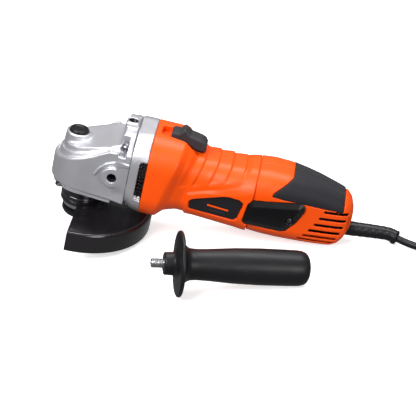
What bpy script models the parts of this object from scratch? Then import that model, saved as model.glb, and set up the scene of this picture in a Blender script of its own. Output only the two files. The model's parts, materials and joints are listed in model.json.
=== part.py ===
"""Small angle grinder for 115 mm discs, resting on its guard and tail, with its side handle beside it.

Lengths in the tables and calls below are in millimetres; every mesh is made in metres.
The tool is modelled in its own frame: the origin is where the spindle axis crosses the motor
axis, +X runs back along the motor to the tail, +Z runs up the spindle and -Y is the tool's left
side. An empty pitches that frame, so that the guard rim and the tail both touch the ground.
"""
import math

import bmesh
import bpy
from mathutils import Matrix, Vector

MM = 0.001
GAP = 0.3                      # clearance between pieces that touch

# Stance on the ground
GUARD_RADIUS = 62.5
GUARD_RIM_Z = -61.5            # lower edge of the guard skirt
TAIL_REST_X = 213.0            # where the tail touches the ground
TAIL_REST_Z = -29.6
ORIGIN_X = 94.8                # ground point under the middle of the bounding box
ORIGIN_Y = -29.2

# Gear head
HEAD_RADIUS = 28.0             # round nose of the gear housing, about the spindle
HEAD_BACK_X = 37.8             # rear face of the gear housing
HEAD_BOTTOM_Z = -24.0
GEAR_TEETH = 30
PINION_TEETH = 9
GEAR_RADIUS = 20.0             # outer pitch radius of the bevel gear
GEAR_INNER = 0.72              # inner end of the teeth, as a share of the outer end
LOCK_X = -11.0                 # spindle lock button and pin
LOCK_SLOTS = 4                 # slots in the gear that the pin drops into
LOCK_SLOT_RADIUS = 3.1
LOCK_SLOT_ANGLE = math.radians(36)
HANDLE_HOLE_X = 25.0           # side handle sockets, left and right
HANDLE_HOLE_Z = -1.5
TOP_HOLE_X = 31.6              # third handle socket, on top
HANDLE_THREAD_RADIUS = 4.0
CORNER = 24.7                  # the four long screws sit at plus and minus this in Y and Z

# Body
BODY_FRONT_X = 51.9
PARTING_X = 141.5              # between the motor housing and the two tail covers
WALL = 2.3
CORNER_POINTS = 5

# Motor
STATOR_RADIUS = 22.2
STATOR_BORE = 14.2
ARMATURE_RADIUS = 13.4
SHAFT_RADIUS = 4.0
CORE_FRONT_X = 86.0
CORE_BACK_X = 126.0
BRUSH_X = 145.0
FAN_BLADES = 9

# Switch
SWITCH_TRAVEL = 6.3
KNOB_FRONT_X = 64.3

# Boot and cord
BOOT_Z = -16.4
BOOT_RADIUS = 6.4
CORD_RADIUS = 3.1

PITCH = math.atan((TAIL_REST_Z - GUARD_RIM_Z) / (TAIL_REST_X - GUARD_RADIUS))
SPINDLE_HEIGHT = GUARD_RADIUS * math.sin(PITCH) - GUARD_RIM_Z * math.cos(PITCH)


def clear_scene():
    for old in list(bpy.data.objects):
        bpy.data.objects.remove(old, do_unlink=True)


def new_collection(name):
    made = bpy.data.collections.new(name)
    bpy.context.scene.collection.children.link(made)
    return made


def material(name, colour, roughness, metallic=0.0):
    made = bpy.data.materials.new(name)
    made.use_nodes = True
    shader = made.node_tree.nodes["Principled BSDF"]
    shader.inputs["Base Color"].default_value = (*colour, 1.0)
    shader.inputs["Roughness"].default_value = roughness
    shader.inputs["Metallic"].default_value = metallic
    made.diffuse_color = (*colour, 1.0)
    return made


clear_scene()
PARTS = new_collection("angle_grinder")
CUTTERS = new_collection("cutters")

FINISH = {
    "aluminium": ((0.62, 0.63, 0.65), 0.38, 1.0),
    "steel": ((0.45, 0.46, 0.48), 0.32, 1.0),
    "zinc_screw": ((0.30, 0.31, 0.33), 0.35, 1.0),
    "iron": ((0.20, 0.20, 0.22), 0.45, 1.0),
    "copper": ((0.72, 0.33, 0.16), 0.35, 1.0),
    "carbon": ((0.03, 0.03, 0.03), 0.70, 0.0),
    "orange_plastic": ((0.95, 0.16, 0.01), 0.38, 0.0),
    "black_plastic": ((0.02, 0.02, 0.022), 0.42, 0.0),
    "soft_rubber": ((0.022, 0.022, 0.026), 0.72, 0.0),
    "guard_paint": ((0.012, 0.012, 0.014), 0.25, 0.3),
    "label_film": ((0.03, 0.03, 0.03), 0.30, 0.0),
    "cord_rubber": ((0.018, 0.018, 0.018), 0.60, 0.0),
    "nylon_white": ((0.75, 0.74, 0.70), 0.50, 0.0),
}
MATERIALS = {}


def finish(name):
    if name not in MATERIALS:
        MATERIALS[name] = material(name, *FINISH[name])
    return MATERIALS[name]


def empty(name, location=(0, 0, 0), rotation=(0, 0, 0), parent=None):
    made = bpy.data.objects.new(name, None)
    made.location = Vector(location) * MM
    made.rotation_euler = rotation
    made.parent = parent
    PARTS.objects.link(made)
    return made


TOOL = empty("tool_frame", (-ORIGIN_X, -ORIGIN_Y, SPINDLE_HEIGHT), (0, PITCH, 0))
SPINDLE_AXIS = empty("spindle_axis", parent=TOOL)
MOTOR_AXIS = empty("motor_axis", parent=TOOL)
LOCK_AXIS = empty("lock_axis", (LOCK_X, 0, 0), parent=TOOL)
SWITCH_AXIS = empty("switch_axis", (KNOB_FRONT_X, 0, 30), parent=TOOL)


def add_object(name, bm, look=None, parent=TOOL, location=(0, 0, 0), rotation=(0, 0, 0)):
    """Turn a bmesh into a named object; without a look it is a cutter, kept out of the build."""
    mesh = bpy.data.meshes.new(name)
    bm.to_mesh(mesh)
    bm.free()
    made = bpy.data.objects.new(name, mesh)
    made.location = Vector(location) * MM
    made.rotation_euler = rotation
    made.parent = parent
    if look:
        mesh.materials.append(finish(look))
        PARTS.objects.link(made)
    else:
        made.hide_render = True
        made.display_type = "WIRE"
        CUTTERS.objects.link(made)
    return made


def shade(obj, angle=35):
    obj.data.shade_smooth()
    obj.data.set_sharp_from_angle(angle=math.radians(angle))
    return obj


def boolean(target, tool, operation="DIFFERENCE"):
    step = target.modifiers.new(operation.lower(), "BOOLEAN")
    step.operation = operation
    step.object = tool
    step.solver = "EXACT"


def cut(target, *tools):
    for tool in tools:
        boolean(target, tool)


def join(target, *tools):
    for tool in tools:
        boolean(target, tool, "UNION")


ALONG_X = (0, math.radians(90), 0)       # turns a piece made along Z to run along X


def turned(name, profile, look=None, steps=28, **place):
    """Turn (radius, height) points round Z; they run down the outer side and up a bore."""
    bm = bmesh.new()
    points = [bm.verts.new((r * MM, 0, z * MM)) for r, z in profile]
    closed = all(r > 0 for r, _ in profile)
    for a, b in zip(points, points[1:]):
        bm.edges.new((a, b))
    if closed:
        bm.edges.new((points[-1], points[0]))
    made = add_object(name, bm, look, **place)
    screw = made.modifiers.new("turn", "SCREW")
    screw.steps = steps
    screw.render_steps = steps
    screw.use_merge_vertices = True
    screw.merge_threshold = 0.00005
    screw.use_smooth_shade = False
    return made


def rod(name, radius, low, high, look=None, steps=20, **place):
    """A plain cylinder along Z from low to high."""
    return turned(name, [(0, high), (radius, high), (radius, low), (0, low)], look, steps, **place)


def ring(name, outer, inner, low, high, look=None, steps=28, **place):
    profile = [(outer, high), (outer, low), (inner, low), (inner, high)]
    return turned(name, profile, look, steps, **place)


def block(name, low, high, look=None, bevel=0.0, **place):
    """A box between two corners, with optional rounded edges."""
    bm = bmesh.new()
    bmesh.ops.create_cube(bm, size=1.0)
    size = [(b - a) * MM for a, b in zip(low, high)]
    middle = [(a + b) * MM / 2 for a, b in zip(low, high)]
    bmesh.ops.scale(bm, vec=size, verts=bm.verts)
    bmesh.ops.translate(bm, vec=middle, verts=bm.verts)
    made = add_object(name, bm, look, **place)
    if bevel:
        edge = made.modifiers.new("rounded", "BEVEL")
        edge.width = bevel * MM
        edge.segments = 2
    return made


def loft(name, rings, look=None, cap_start=True, cap_end=True, loop=False, wrap=True, **place):
    """Skin a list of rings of points, all with the same number of points."""
    bm = bmesh.new()
    rows = [[bm.verts.new(Vector(p) * MM) for p in one] for one in rings]
    count = len(rows[0])
    pairs = list(zip(rows, rows[1:]))
    if loop:
        pairs.append((rows[-1], rows[0]))
    for first, second in pairs:
        for k in range(count if wrap else count - 1):
            n = (k + 1) % count
            bm.faces.new((first[k], second[k], second[n], first[n]))
    if cap_start and not loop:
        bm.faces.new(rows[0])
    if cap_end and not loop:
        bm.faces.new(rows[-1][::-1])
    if loop or (cap_start and cap_end):
        bmesh.ops.recalc_face_normals(bm, faces=bm.faces)
    return add_object(name, bm, look, **place)


def prism(name, outline, y_of, thickness, look=None, **place):
    """Push an outline of (x, z) points through in Y: y_of(x) is the outer face."""
    outer = [(x, y_of(x), z) for x, z in outline]
    inner = [(x, y_of(x) + thickness, z) for x, z in outline]
    return loft(name, [outer, inner], look, **place)


# ---------------------------------------------------------------- body sections

def table_value(table, x):
    """Read a table of (x, value, value, ...) rows by straight interpolation."""
    if x <= table[0][0]:
        return table[0][1:]
    for low, high in zip(table, table[1:]):
        if x <= high[0]:
            t = (x - low[0]) / (high[0] - low[0])
            return tuple(a + t * (b - a) for a, b in zip(low[1:], high[1:]))
    return table[-1][1:]


# x, half width, top, bottom, corner radius
HOUSING_SECTIONS = [
    (51.9, 35.0, 36.2, -36.0, 24.0),
    (64.0, 34.6, 35.8, -35.8, 23.5),
    (70.0, 29.6, 32.0, -30.2, 21.0),
    (79.0, 26.4, 26.6, -27.6, 18.5),
    (95.0, 26.0, 25.2, -27.5, 18.0),
    (130.0, 26.8, 24.9, -28.9, 18.0),
    (141.2, 27.4, 27.0, -29.8, 18.0),
]
TAIL_SECTIONS = [
    (141.8, 27.4, 27.0, -29.8, 18.0),
    (153.0, 27.2, 28.4, -30.6, 18.0),
    (166.0, 25.8, 28.3, -31.0, 17.0),
    (180.0, 23.6, 26.6, -31.0, 15.5),
    (192.0, 21.4, 24.4, -30.8, 14.0),
    (204.0, 19.2, 21.6, -30.4, 13.0),
    (213.0, 17.4, 19.2, -29.6, 12.0),
    (218.5, 15.8, 16.6, -26.6, 11.0),
    (222.5, 13.6, 12.6, -20.6, 9.5),
    (225.2, 9.5, 5.5, -12.0, 7.5),
]


def half_outline(half_width, top, bottom, radius, steps=CORNER_POINTS):
    """Half of a rounded rectangle, from the top middle round by +Y to the bottom middle."""
    points = [(0.0, top)]
    for k in range(steps + 1):
        a = math.pi / 2 * k / steps
        points.append((half_width - radius + radius * math.sin(a), top - radius + radius * math.cos(a)))
    for k in range(steps + 1):
        a = math.pi / 2 * k / steps
        points.append((half_width - radius + radius * math.cos(a),
                       bottom + radius - radius * math.sin(a)))
    points.append((0.0, bottom))
    return points


def full_outline(half_width, top, bottom, radius, steps=CORNER_POINTS):
    right = half_outline(half_width, top, bottom, radius, steps)
    left = [(-y, z) for y, z in right[1:-1]][::-1]
    return right + left


def section_rings(sections, outline):
    return [[(x, y, z) for y, z in outline(*values)] for x, *values in sections]


def side_of_body(x):
    """Half width of the body at x."""
    table = HOUSING_SECTIONS if x < PARTING_X else TAIL_SECTIONS
    return table_value(table, x)[0]


# ---------------------------------------------------------------- gear head

# x, height of the side wall's upper edge
WALL_TOP = [(-28, -4.0), (-16, 2.0), (0, 8.5), (8, 13.0), (14, 17.0), (20, 20.5), (38, 22.0)]
TOP_PLATE_Z = 14.3             # height of the top plate over the spindle
TOP_PLATE_SLOPE = 0.33


def head_outline(inset):
    """Plan of the gear housing: a round nose with sides that widen to the flange."""
    radius = HEAD_RADIUS - inset
    side = [(HEAD_BACK_X, 33.6 - inset), (26.0, 30.8 - inset), (13.0, 29.4 - inset)]
    nose = []
    for k in range(13):
        a = math.radians(90 + 15 * k)
        nose.append((radius * math.cos(a), radius * math.sin(a)))
    return side + nose + [(x, -y) for x, y in side[::-1]]


def head_rings():
    def level(inset, height):
        return [(x, y, height(x)) for x, y in head_outline(inset)]

    def top_plate(x):
        return TOP_PLATE_Z + TOP_PLATE_SLOPE * x

    def wall_top(x):
        return table_value(WALL_TOP, x)[0]

    def shoulder(x):
        return 0.45 * wall_top(x) + 0.55 * top_plate(x) - 0.6

    return [level(1.6, lambda x: HEAD_BOTTOM_Z), level(0, lambda x: HEAD_BOTTOM_Z + 2.5),
            level(0, wall_top), level(4.2, shoulder), level(7.0, top_plate)]


def make_gear_housing():
    housing = loft("gear_housing", head_rings(), "aluminium")
    flange = loft("head_flange_tool", [
        [(x, y, z) for y, z in full_outline(33.8, 34.4, -24.0 + GAP, 20.0, 4)]
        for x in (27.4, HEAD_BACK_X)])
    top_boss = block("top_boss_tool", (26.0, -6.6, 28.0), (HEAD_BACK_X - 0.4, 6.6, 38.2), bevel=1.6)
    lock_boss = turned("lock_boss_tool", [(0, 17.3), (9.8, 17.3), (10.9, 16.2), (11.6, 2), (0, 2)],
                       steps=20, location=(LOCK_X, 0, 0))
    join(housing, flange, top_boss, lock_boss)
    for side in (-1, 1):
        boss = turned("side_boss_tool", [(0, 32.2), (7.6, 32.2), (9.0, 30.8), (9.0, 20), (0, 20)],
                      steps=20, location=(HANDLE_HOLE_X, 0, HANDLE_HOLE_Z),
                      rotation=(math.radians(-90 * side), 0, 0))
        join(housing, boss)
    cut(housing,
        rod("gear_room_cutter", 21.6, -26, -2.4, steps=24),
        rod("pinion_room_cutter", 9.4, 6, 27, steps=16, rotation=ALONG_X),
        rod("shaft_room_cutter", 15.5, 26.6, 40, steps=16, rotation=ALONG_X),
        rod("bush_cutter", 6.3, -4, 10.6, steps=16),
        rod("lock_pin_cutter", 2.7, -4, 20, steps=12, location=(LOCK_X, 0, 0)),
        rod("lock_spring_cutter", 5.2, 3.6, 20, steps=16, location=(LOCK_X, 0, 0)),
        rod("lock_button_cutter", 8.4, 11.0, 20, steps=20, location=(LOCK_X, 0, 0)),
        rod("top_hole_cutter", HANDLE_THREAD_RADIUS - 0.4, 24, 40, steps=12,
            location=(TOP_HOLE_X, 0, 0)))
    for side in (-1, 1):
        cut(housing, rod("side_hole_cutter", HANDLE_THREAD_RADIUS - 0.4, 21, 34, steps=12,
                         location=(HANDLE_HOLE_X, 0, HANDLE_HOLE_Z),
                         rotation=(math.radians(-90 * side), 0, 0)))
    for y in (-CORNER, CORNER):
        pocket = block("screw_pocket_cutter", (27.0, min(y, 1.32 * y), 19.4),
                       (33.2, max(y, 1.32 * y), 40.0))
        round_pocket = rod("screw_seat_cutter", 5.2, 20.0, 33.2, steps=16, location=(0, y, CORNER),
                           rotation=ALONG_X)
        cut(housing, pocket, round_pocket)
    for y, z in corner_places():
        if z > 0:
            cut(housing, rod("long_screw_cutter", 2.4, 30, 40, steps=8, location=(0, y, z),
                             rotation=ALONG_X))
    for x, y in cover_screw_places():
        cut(housing, rod("cover_screw_cutter", 2.3, -26, -9.5, steps=8, location=(x, y, 0)))
    return shade(housing)


def corner_places():
    return [(y, z) for z in (CORNER, -CORNER) for y in (-CORNER, CORNER)]


def cover_screw_places():
    reach = 24.8 * math.cos(math.radians(45))
    return [(x, y) for x in (-reach, reach) for y in (-reach, reach)]


def make_bearing_cover():
    """Aluminium cover under the gear housing; its neck carries the guard."""
    def level(inset, z):
        return [(min(x, 27.0), y, z) for x, y in head_outline(inset)]

    cover = loft("bearing_cover", [level(4.6, -28.0), level(2.0, -27.2), level(2.0, -24.0 - GAP)],
                 "aluminium")
    join(cover,
         ring("bearing_seat_tool", 19.6, 15.0, -25.6, -14.2, steps=24),
         rod("neck_tool", 14.3, -45.2, -26.0, steps=24))
    cut(cover, rod("cover_bore_cutter", 9.2, -46, -20, steps=20),
        rod("bearing_pocket_cutter", 16.3, -25.1, -12, steps=24))
    for x, y in cover_screw_places():
        cut(cover, rod("cover_hole_cutter", 2.3, -30, -20, steps=8, location=(x, y, 0)),
            rod("cover_sink_cutter", 4.3, -30, -26.0, steps=12, location=(x, y, 0)))
    return shade(cover)


def make_flange_plate():
    """Ring between the gear housing and the motor housing, with a web for the pinion bearing."""
    plate = loft("flange_plate", section_rings(
        [(38.1, 34.4, 35.2, -29.0, 21.0), (44.0, 34.8, 35.8, -33.6, 22.5),
         (51.6, 35.0, 36.2, -35.8, 24.0)], full_outline), "aluminium")
    cut(plate,
        ring("exhaust_cutter", 30.4, 17.2, 43.0, 54.0, steps=32, rotation=ALONG_X),
        rod("pinion_bearing_cutter", 13.4, 41.4, 54.0, steps=24, rotation=ALONG_X),
        rod("web_bore_cutter", 10.4, 36.0, 54.0, steps=24, rotation=ALONG_X))
    for side in (-1, 1):
        low, high = sorted((26.0 * side, 38.0 * side))
        window = block("exhaust_window_cutter", (45.4, low, -16.0), (54.0, high, 14.0))
        cut(plate, window)
    for y, z in corner_places():
        cut(plate, rod("plate_hole_cutter", 2.4, 36, 54, steps=8, location=(0, y, z),
                       rotation=ALONG_X))
        if z < 0:
            cut(plate, rod("plate_sink_cutter", 4.7, 36, 42.2, steps=12, location=(0, y, z),
                           rotation=ALONG_X))
    return shade(plate)


def make_head_fasteners():
    for number, (y, z) in enumerate(corner_places(), start=1):
        seat = 32.9 if z > 0 else 41.9
        head = 27.9 if z > 0 else 38.5
        profile = [(0, 61.5), (2.0, 61.5), (2.0, seat), (4.1, seat), (4.1, head), (0, head)]
        screw = turned(f"head_screw_{number}", profile, "zinc_screw", 12,
                       location=(0, y, z), rotation=ALONG_X)
        shade(screw)
    for number, (x, y) in enumerate(cover_screw_places(), start=1):
        profile = [(0, -10.0), (1.8, -10.0), (1.8, -26.4), (3.8, -26.4), (3.8, -28.8), (0, -28.8)]
        screw = turned(f"cover_screw_{number}", profile, "zinc_screw", 12, location=(x, y, 0))
        shade(screw)


# ---------------------------------------------------------------- spindle and gears

def make_spindle():
    profile = [(0, 9.6), (4.0, 9.6), (4.0, -4.0), (5.0, -4.0), (5.0, -13.5),
               (5.7, -13.5), (5.7, -24.4), (8.2, -24.4), (8.2, -45.6), (6.9, -45.6),
               (6.9, -60.0), (0, -60.0)]
    spindle = turned("spindle", profile, "steel", 20, parent=SPINDLE_AXIS)
    shade(spindle)
    ball_race("spindle_bearing", 16.0, 6.0, -24.0, -14.5)
    shade(ring("spindle_bush", 6.0, 4.3, 1.0, 10.2, "steel", 20))


def ball_race(name, outer, bore, low, high, rotation=(0, 0, 0)):
    """A ball bearing as one turned ring, with both faces dished at the shields."""
    middle = (outer + bore) / 2
    dish = 0.7
    profile = [(outer, high), (outer, low), (middle, low + dish), (bore, low), (bore, high),
               (middle, high - dish)]
    shade(turned(name, profile, "steel", 20, rotation=rotation))


def tooth_angles(teeth, phase):
    """Angles of the four points of each tooth, with True where the point is on the tip."""
    pitch = 2 * math.pi / teeth
    for k in range(teeth):
        middle = pitch * (k + phase)
        for offset, tip in ((-0.27, False), (-0.12, True), (0.12, True), (0.27, False)):
            yield middle + pitch * offset, tip


CONE = math.atan(PINION_TEETH / GEAR_TEETH)
TIP = math.radians(2.1)        # tooth height above the pitch cone, seen from the cone's apex
ROOT = math.radians(3.4)


def make_bevel_gear():
    """Crown of straight bevel teeth that face up, on a web with four slots for the lock pin."""
    reach = GEAR_RADIUS / math.cos(CONE)

    def tooth_ring(scale):
        points = []
        for angle, tip in tooth_angles(GEAR_TEETH, 0.5):
            dip = CONE - TIP if tip else CONE + ROOT
            r = reach * math.cos(dip) * scale
            points.append((r * math.cos(angle), r * math.sin(angle), -reach * math.sin(dip) * scale))
        return points

    def plain_ring(r, z):
        return [(r * math.cos(a), r * math.sin(a), z) for a, _ in tooth_angles(GEAR_TEETH, 0.5)]

    gear = loft("bevel_gear", [tooth_ring(1.0), plain_ring(18.4, -11.0), plain_ring(13.6, -11.0),
                               tooth_ring(GEAR_INNER)],
                "steel", loop=True, parent=SPINDLE_AXIS)
    web = turned("gear_web_tool", [(16.0, -7.8), (16.0, -13.2), (5.3, -13.2), (5.3, -7.8)],
                 steps=24, parent=SPINDLE_AXIS)
    join(gear, web)
    for k in range(LOCK_SLOTS):
        outline = slot_outline(LOCK_SLOT_RADIUS, 2 * math.pi * k / LOCK_SLOTS)
        cut(gear, loft("lock_slot_cutter", [[(x, y, z) for x, y in outline] for z in (-5, -15)],
                       parent=SPINDLE_AXIS))
    return gear


def slot_outline(radius, start, steps=5):
    """Kidney shaped slot round the spindle, on the lock pin's circle."""
    middle = abs(LOCK_X)
    stop = start + LOCK_SLOT_ANGLE
    outer = [(middle + radius, start + LOCK_SLOT_ANGLE * k / steps) for k in range(steps + 1)]
    inner = [(middle - radius, angle) for _, angle in outer[::-1]]
    points = [(r * math.cos(a), r * math.sin(a)) for r, a in outer]
    points += round_end(middle, radius, stop, 1, steps)
    points += [(r * math.cos(a), r * math.sin(a)) for r, a in inner]
    points += round_end(middle, radius, start, -1, steps)
    return points


def round_end(middle, radius, angle, way, steps):
    """Points of a half circle past the end of a slot, without the two where it starts and ends."""
    cx, cy = middle * math.cos(angle), middle * math.sin(angle)
    points = []
    for k in range(1, steps):
        a = angle + math.pi * k / steps
        if way < 0:
            a += math.pi
        points.append((cx + radius * math.cos(a), cy + radius * math.sin(a)))
    return points


def make_pinion():
    reach = GEAR_RADIUS

    def tooth_ring(scale):
        points = []
        for angle, tip in tooth_angles(PINION_TEETH, 0.0):
            spread = CONE + (TIP if tip else -ROOT)
            r = reach * math.tan(spread) * scale
            points.append((reach * scale, r * math.sin(angle), -r * math.cos(angle)))
        return points

    pinion = loft("pinion", [tooth_ring(GEAR_INNER), tooth_ring(1.0)], "steel", parent=MOTOR_AXIS)
    join(pinion, rod("pinion_hub_tool", 4.9, 19.0, 25.6, steps=20, parent=MOTOR_AXIS,
                     rotation=ALONG_X))
    cut(pinion, rod("pinion_bore_cutter", 2.6, 10, 30, steps=16, parent=MOTOR_AXIS,
                    rotation=ALONG_X))
    return pinion


def make_disc_fixings():
    seat = [(8.0, -46.0), (13.4, -46.0), (14.5, -47.0), (14.5, -50.0), (7.2, -50.0), (7.2, -46.4)]
    shade(turned("inner_flange", seat, "steel", 24, parent=SPINDLE_AXIS))
    nut = [(14.2, -53.0), (14.2, -56.1), (12.6, -58.7), (7.2, -58.7), (7.2, -53.0)]
    lock_nut = turned("lock_nut", nut, "steel", 24, parent=SPINDLE_AXIS)
    for k in range(4):
        a = math.pi / 4 + math.pi / 2 * k
        cut(lock_nut, rod("nut_hole_cutter", 1.9, -61, -55.7, steps=8, parent=SPINDLE_AXIS,
                          location=(10.2 * math.cos(a), 10.2 * math.sin(a), 0)))
    shade(lock_nut)


def make_spindle_lock():
    cap = [(0, 19.4), (6.4, 19.4), (7.7, 18.9), (8.0, 18.0), (8.0, 15.6), (2.6, 15.6), (2.6, 17.0),
           (0, 17.0)]
    shade(turned("lock_button", cap, "black_plastic", 24, parent=LOCK_AXIS))
    shade(rod("lock_pin", 2.3, -6.2, 16.7, "steel", 12, parent=LOCK_AXIS))
    coil("lock_spring", 3.9, 0.45, 8.6, 14.8, 3, 9, LOCK_AXIS)


def coil(name, radius, wire, low, high, turns, points_per_turn, parent, rotation=(0, 0, 0),
         location=(0, 0, 0)):
    """A coil spring round Z."""
    curve = bpy.data.curves.new(name, "CURVE")
    curve.dimensions = "3D"
    curve.bevel_depth = wire * MM
    curve.bevel_resolution = 1
    curve.use_fill_caps = True
    count = turns * points_per_turn + 1
    path = curve.splines.new("POLY")
    path.points.add(count - 1)
    for k, point in enumerate(path.points):
        a = 2 * math.pi * k / points_per_turn
        z = low + (high - low) * k / (count - 1)
        point.co = (radius * MM * math.cos(a), radius * MM * math.sin(a), z * MM, 1.0)
    made = bpy.data.objects.new(name, curve)
    curve.materials.append(finish("steel"))
    made.parent = parent
    made.rotation_euler = rotation
    made.location = Vector(location) * MM
    PARTS.objects.link(made)
    return made


# ---------------------------------------------------------------- guard

def make_guard():
    """Half round guard over the tail side of the disc, on a full collar round the neck."""
    collar = 16.0
    bore = 14.3 + 2 * GAP
    plate_top = -44.0
    sheet = 1.6
    lip = 3.2
    guard = turned("guard", [
        (collar, -31.0), (collar, plate_top), (GUARD_RADIUS - 1.4, plate_top),
        (GUARD_RADIUS, plate_top - 1.4), (GUARD_RADIUS, GUARD_RIM_Z + 1.0),
        (GUARD_RADIUS - 1.0, GUARD_RIM_Z), (GUARD_RADIUS - lip, GUARD_RIM_Z),
        (GUARD_RADIUS - lip, GUARD_RIM_Z + sheet), (GUARD_RADIUS - sheet, GUARD_RIM_Z + sheet),
        (GUARD_RADIUS - sheet, plate_top - sheet), (bore, plate_top - sheet), (bore, -31.0)],
        "guard_paint", 44, parent=SPINDLE_AXIS)
    keep_collar = ring("guard_front_cutter", 80.0, collar + 0.8, -70.0, -40.0, steps=32,
                       parent=SPINDLE_AXIS)
    cut(keep_collar, block("guard_back_cutter", (0.0, -90, -80), (90, 90, -30),
                           parent=SPINDLE_AXIS))
    cut(guard, keep_collar)
    shade(guard)
    band = turned("guard_clamp_band", [(17.8, -33.0), (17.8, -41.6), (16.0, -41.6),
                                       (16.0, -33.0)], "guard_paint", 24, parent=SPINDLE_AXIS)
    join(band, block("band_ear_tool", (-9.0, 14.4, -40.6), (-3.0, 22.0, -34.0),
                     parent=SPINDLE_AXIS, bevel=0.5),
         block("band_ear_tool_2", (3.0, 14.4, -40.6), (9.0, 22.0, -34.0),
               parent=SPINDLE_AXIS, bevel=0.5))
    cut(band, rod("band_bore_cutter", 16.3, -44, -30, steps=24, parent=SPINDLE_AXIS),
        rod("band_hole_cutter", 2.3, -12, 12, steps=12, parent=SPINDLE_AXIS,
            location=(0, 19.4, -37.3), rotation=ALONG_X))
    shade(band)
    profile = [(0, 10.5), (2.0, 10.5), (2.0, -9.3), (3.8, -9.3), (3.8, -12.4), (0, -12.4)]
    shade(turned("guard_clamp_screw", profile, "zinc_screw", 12, parent=SPINDLE_AXIS,
                 location=(0, 19.4, -37.3), rotation=ALONG_X))


# ---------------------------------------------------------------- body shells

LABEL_OUTLINE = [(91.4, -17.2), (90.6, -10.6), (93.4, -8.2), (117.0, 0.6), (121.0, 1.5),
                 (130.0, 1.0), (133.0, -1.0), (133.2, -4.0), (130.6, -16.4), (127.8, -18.6)]
COVER_OUTLINE = [(141.2, 5.2), (181.0, 10.8), (184.6, 8.6), (185.4, 4.2), (179.8, -8.6),
                 (173.2, -17.0), (169.6, -18.4), (139.4, -17.4), (136.9, -15.0), (138.6, 1.2)]


def grown(outline, amount):
    """The same outline pushed outward from its middle by a fixed distance."""
    cx = sum(x for x, _ in outline) / len(outline)
    cz = sum(z for _, z in outline) / len(outline)
    points = []
    for x, z in outline:
        away = math.hypot(x - cx, z - cz)
        points.append((x + (x - cx) / away * amount, z + (z - cz) / away * amount))
    return points


def side_plane(offset):
    """Left side of the body near the brush cover, as a flat face that leans with the taper."""
    def y_of(x):
        return -(27.7 - 0.09 * (x - 137.0)) - offset
    return y_of


def mirrored(y_of):
    def other(x):
        return -y_of(x)
    return other


def both_sides(y_of, thickness):
    """The left face and its mirror image, each with its inward thickness."""
    return (("left", y_of, thickness), ("right", mirrored(y_of), -thickness))


def solidify(obj, thickness, offset=-1.0):
    wall = obj.modifiers.new("wall", "SOLIDIFY")
    wall.thickness = thickness * MM
    wall.offset = offset
    wall.use_rim = True
    return obj


def make_motor_housing():
    rings = section_rings(HOUSING_SECTIONS, full_outline)
    housing = loft("motor_housing", rings, "orange_plastic", cap_start=False, cap_end=False)
    solidify(housing, WALL)
    for y, z in corner_places():
        boss = rod("housing_boss_tool", 4.2, BODY_FRONT_X + 0.4, 64.0, steps=10,
                   location=(0, y, z), rotation=ALONG_X)
        join(housing, boss)
    for y, z in corner_places():
        cut(housing, rod("housing_hole_cutter", 2.4, 50, 62.5, steps=8, location=(0, y, z),
                         rotation=ALONG_X))
    cut(housing,
        block("knob_channel_cutter", (57.4, -7.8, 34.6), (70.0, 7.8, 40.0)),
        block("knob_slot_cutter", (77.0, -3.2, 20.0), (92.6, 3.2, 34.0)))
    for side, y_of, depth in both_sides(lambda x: -26.0 - 3.0, 4.1):
        cut(housing, prism(f"label_recess_cutter_{side}", grown(LABEL_OUTLINE, 0.35), y_of, depth))
    for side, y_of, depth in both_sides(side_plane(4.0), 5.3):
        cut(housing, prism(f"housing_cover_cutter_{side}", grown(COVER_OUTLINE, 0.4), y_of, depth))
    return shade(housing)


def make_labels():
    for side, y_of, depth in both_sides(lambda x: -26.0, 0.8):
        shade(prism(f"label_plate_{side}", LABEL_OUTLINE, y_of, depth, "label_film"))


# Rows of the soft grip from the top seam down the side: ring position, front x, back x
GRIP_ROWS = [(0.04, 167.0, 213.6), (0.45, 168.6, 213.8), (1.0, 170.4, 214.2), (2.0, 170.2, 214.6),
             (3.0, 167.6, 215.0), (4.0, 163.2, 215.6), (5.0, 158.0, 216.0), (5.7, 156.6, 216.2)]
SEAM = 0.15                    # half of the gap between the two tail covers


def half_point(outline, position):
    low = int(position)
    share = position - low
    a, b = outline[low], outline[min(low + 1, len(outline) - 1)]
    return a[0] + share * (b[0] - a[0]), a[1] + share * (b[1] - a[1])


def grip_patch(name, side, look=None, grow=0.0, columns=7):
    """Open sheet on the tail's outer surface, inside the soft grip's outline or grown past it."""
    rings = []
    for row, (position, front, back) in enumerate(GRIP_ROWS):
        seam = SEAM
        if grow and row == 0:
            position = 0.0
            seam = -0.2
        elif grow and row == len(GRIP_ROWS) - 1:
            position += 0.08
        line = []
        for k in range(columns + 1):
            x = front - grow + (back - front + 2 * grow) * k / columns
            y, z = half_point(half_outline(*table_value(TAIL_SECTIONS, x)), position)
            line.append((x, side * (y + seam), z))
        rings.append(line)
    if side > 0:
        rings = rings[::-1]
    return loft(name, rings, look, cap_start=False, cap_end=False, wrap=False)


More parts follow.
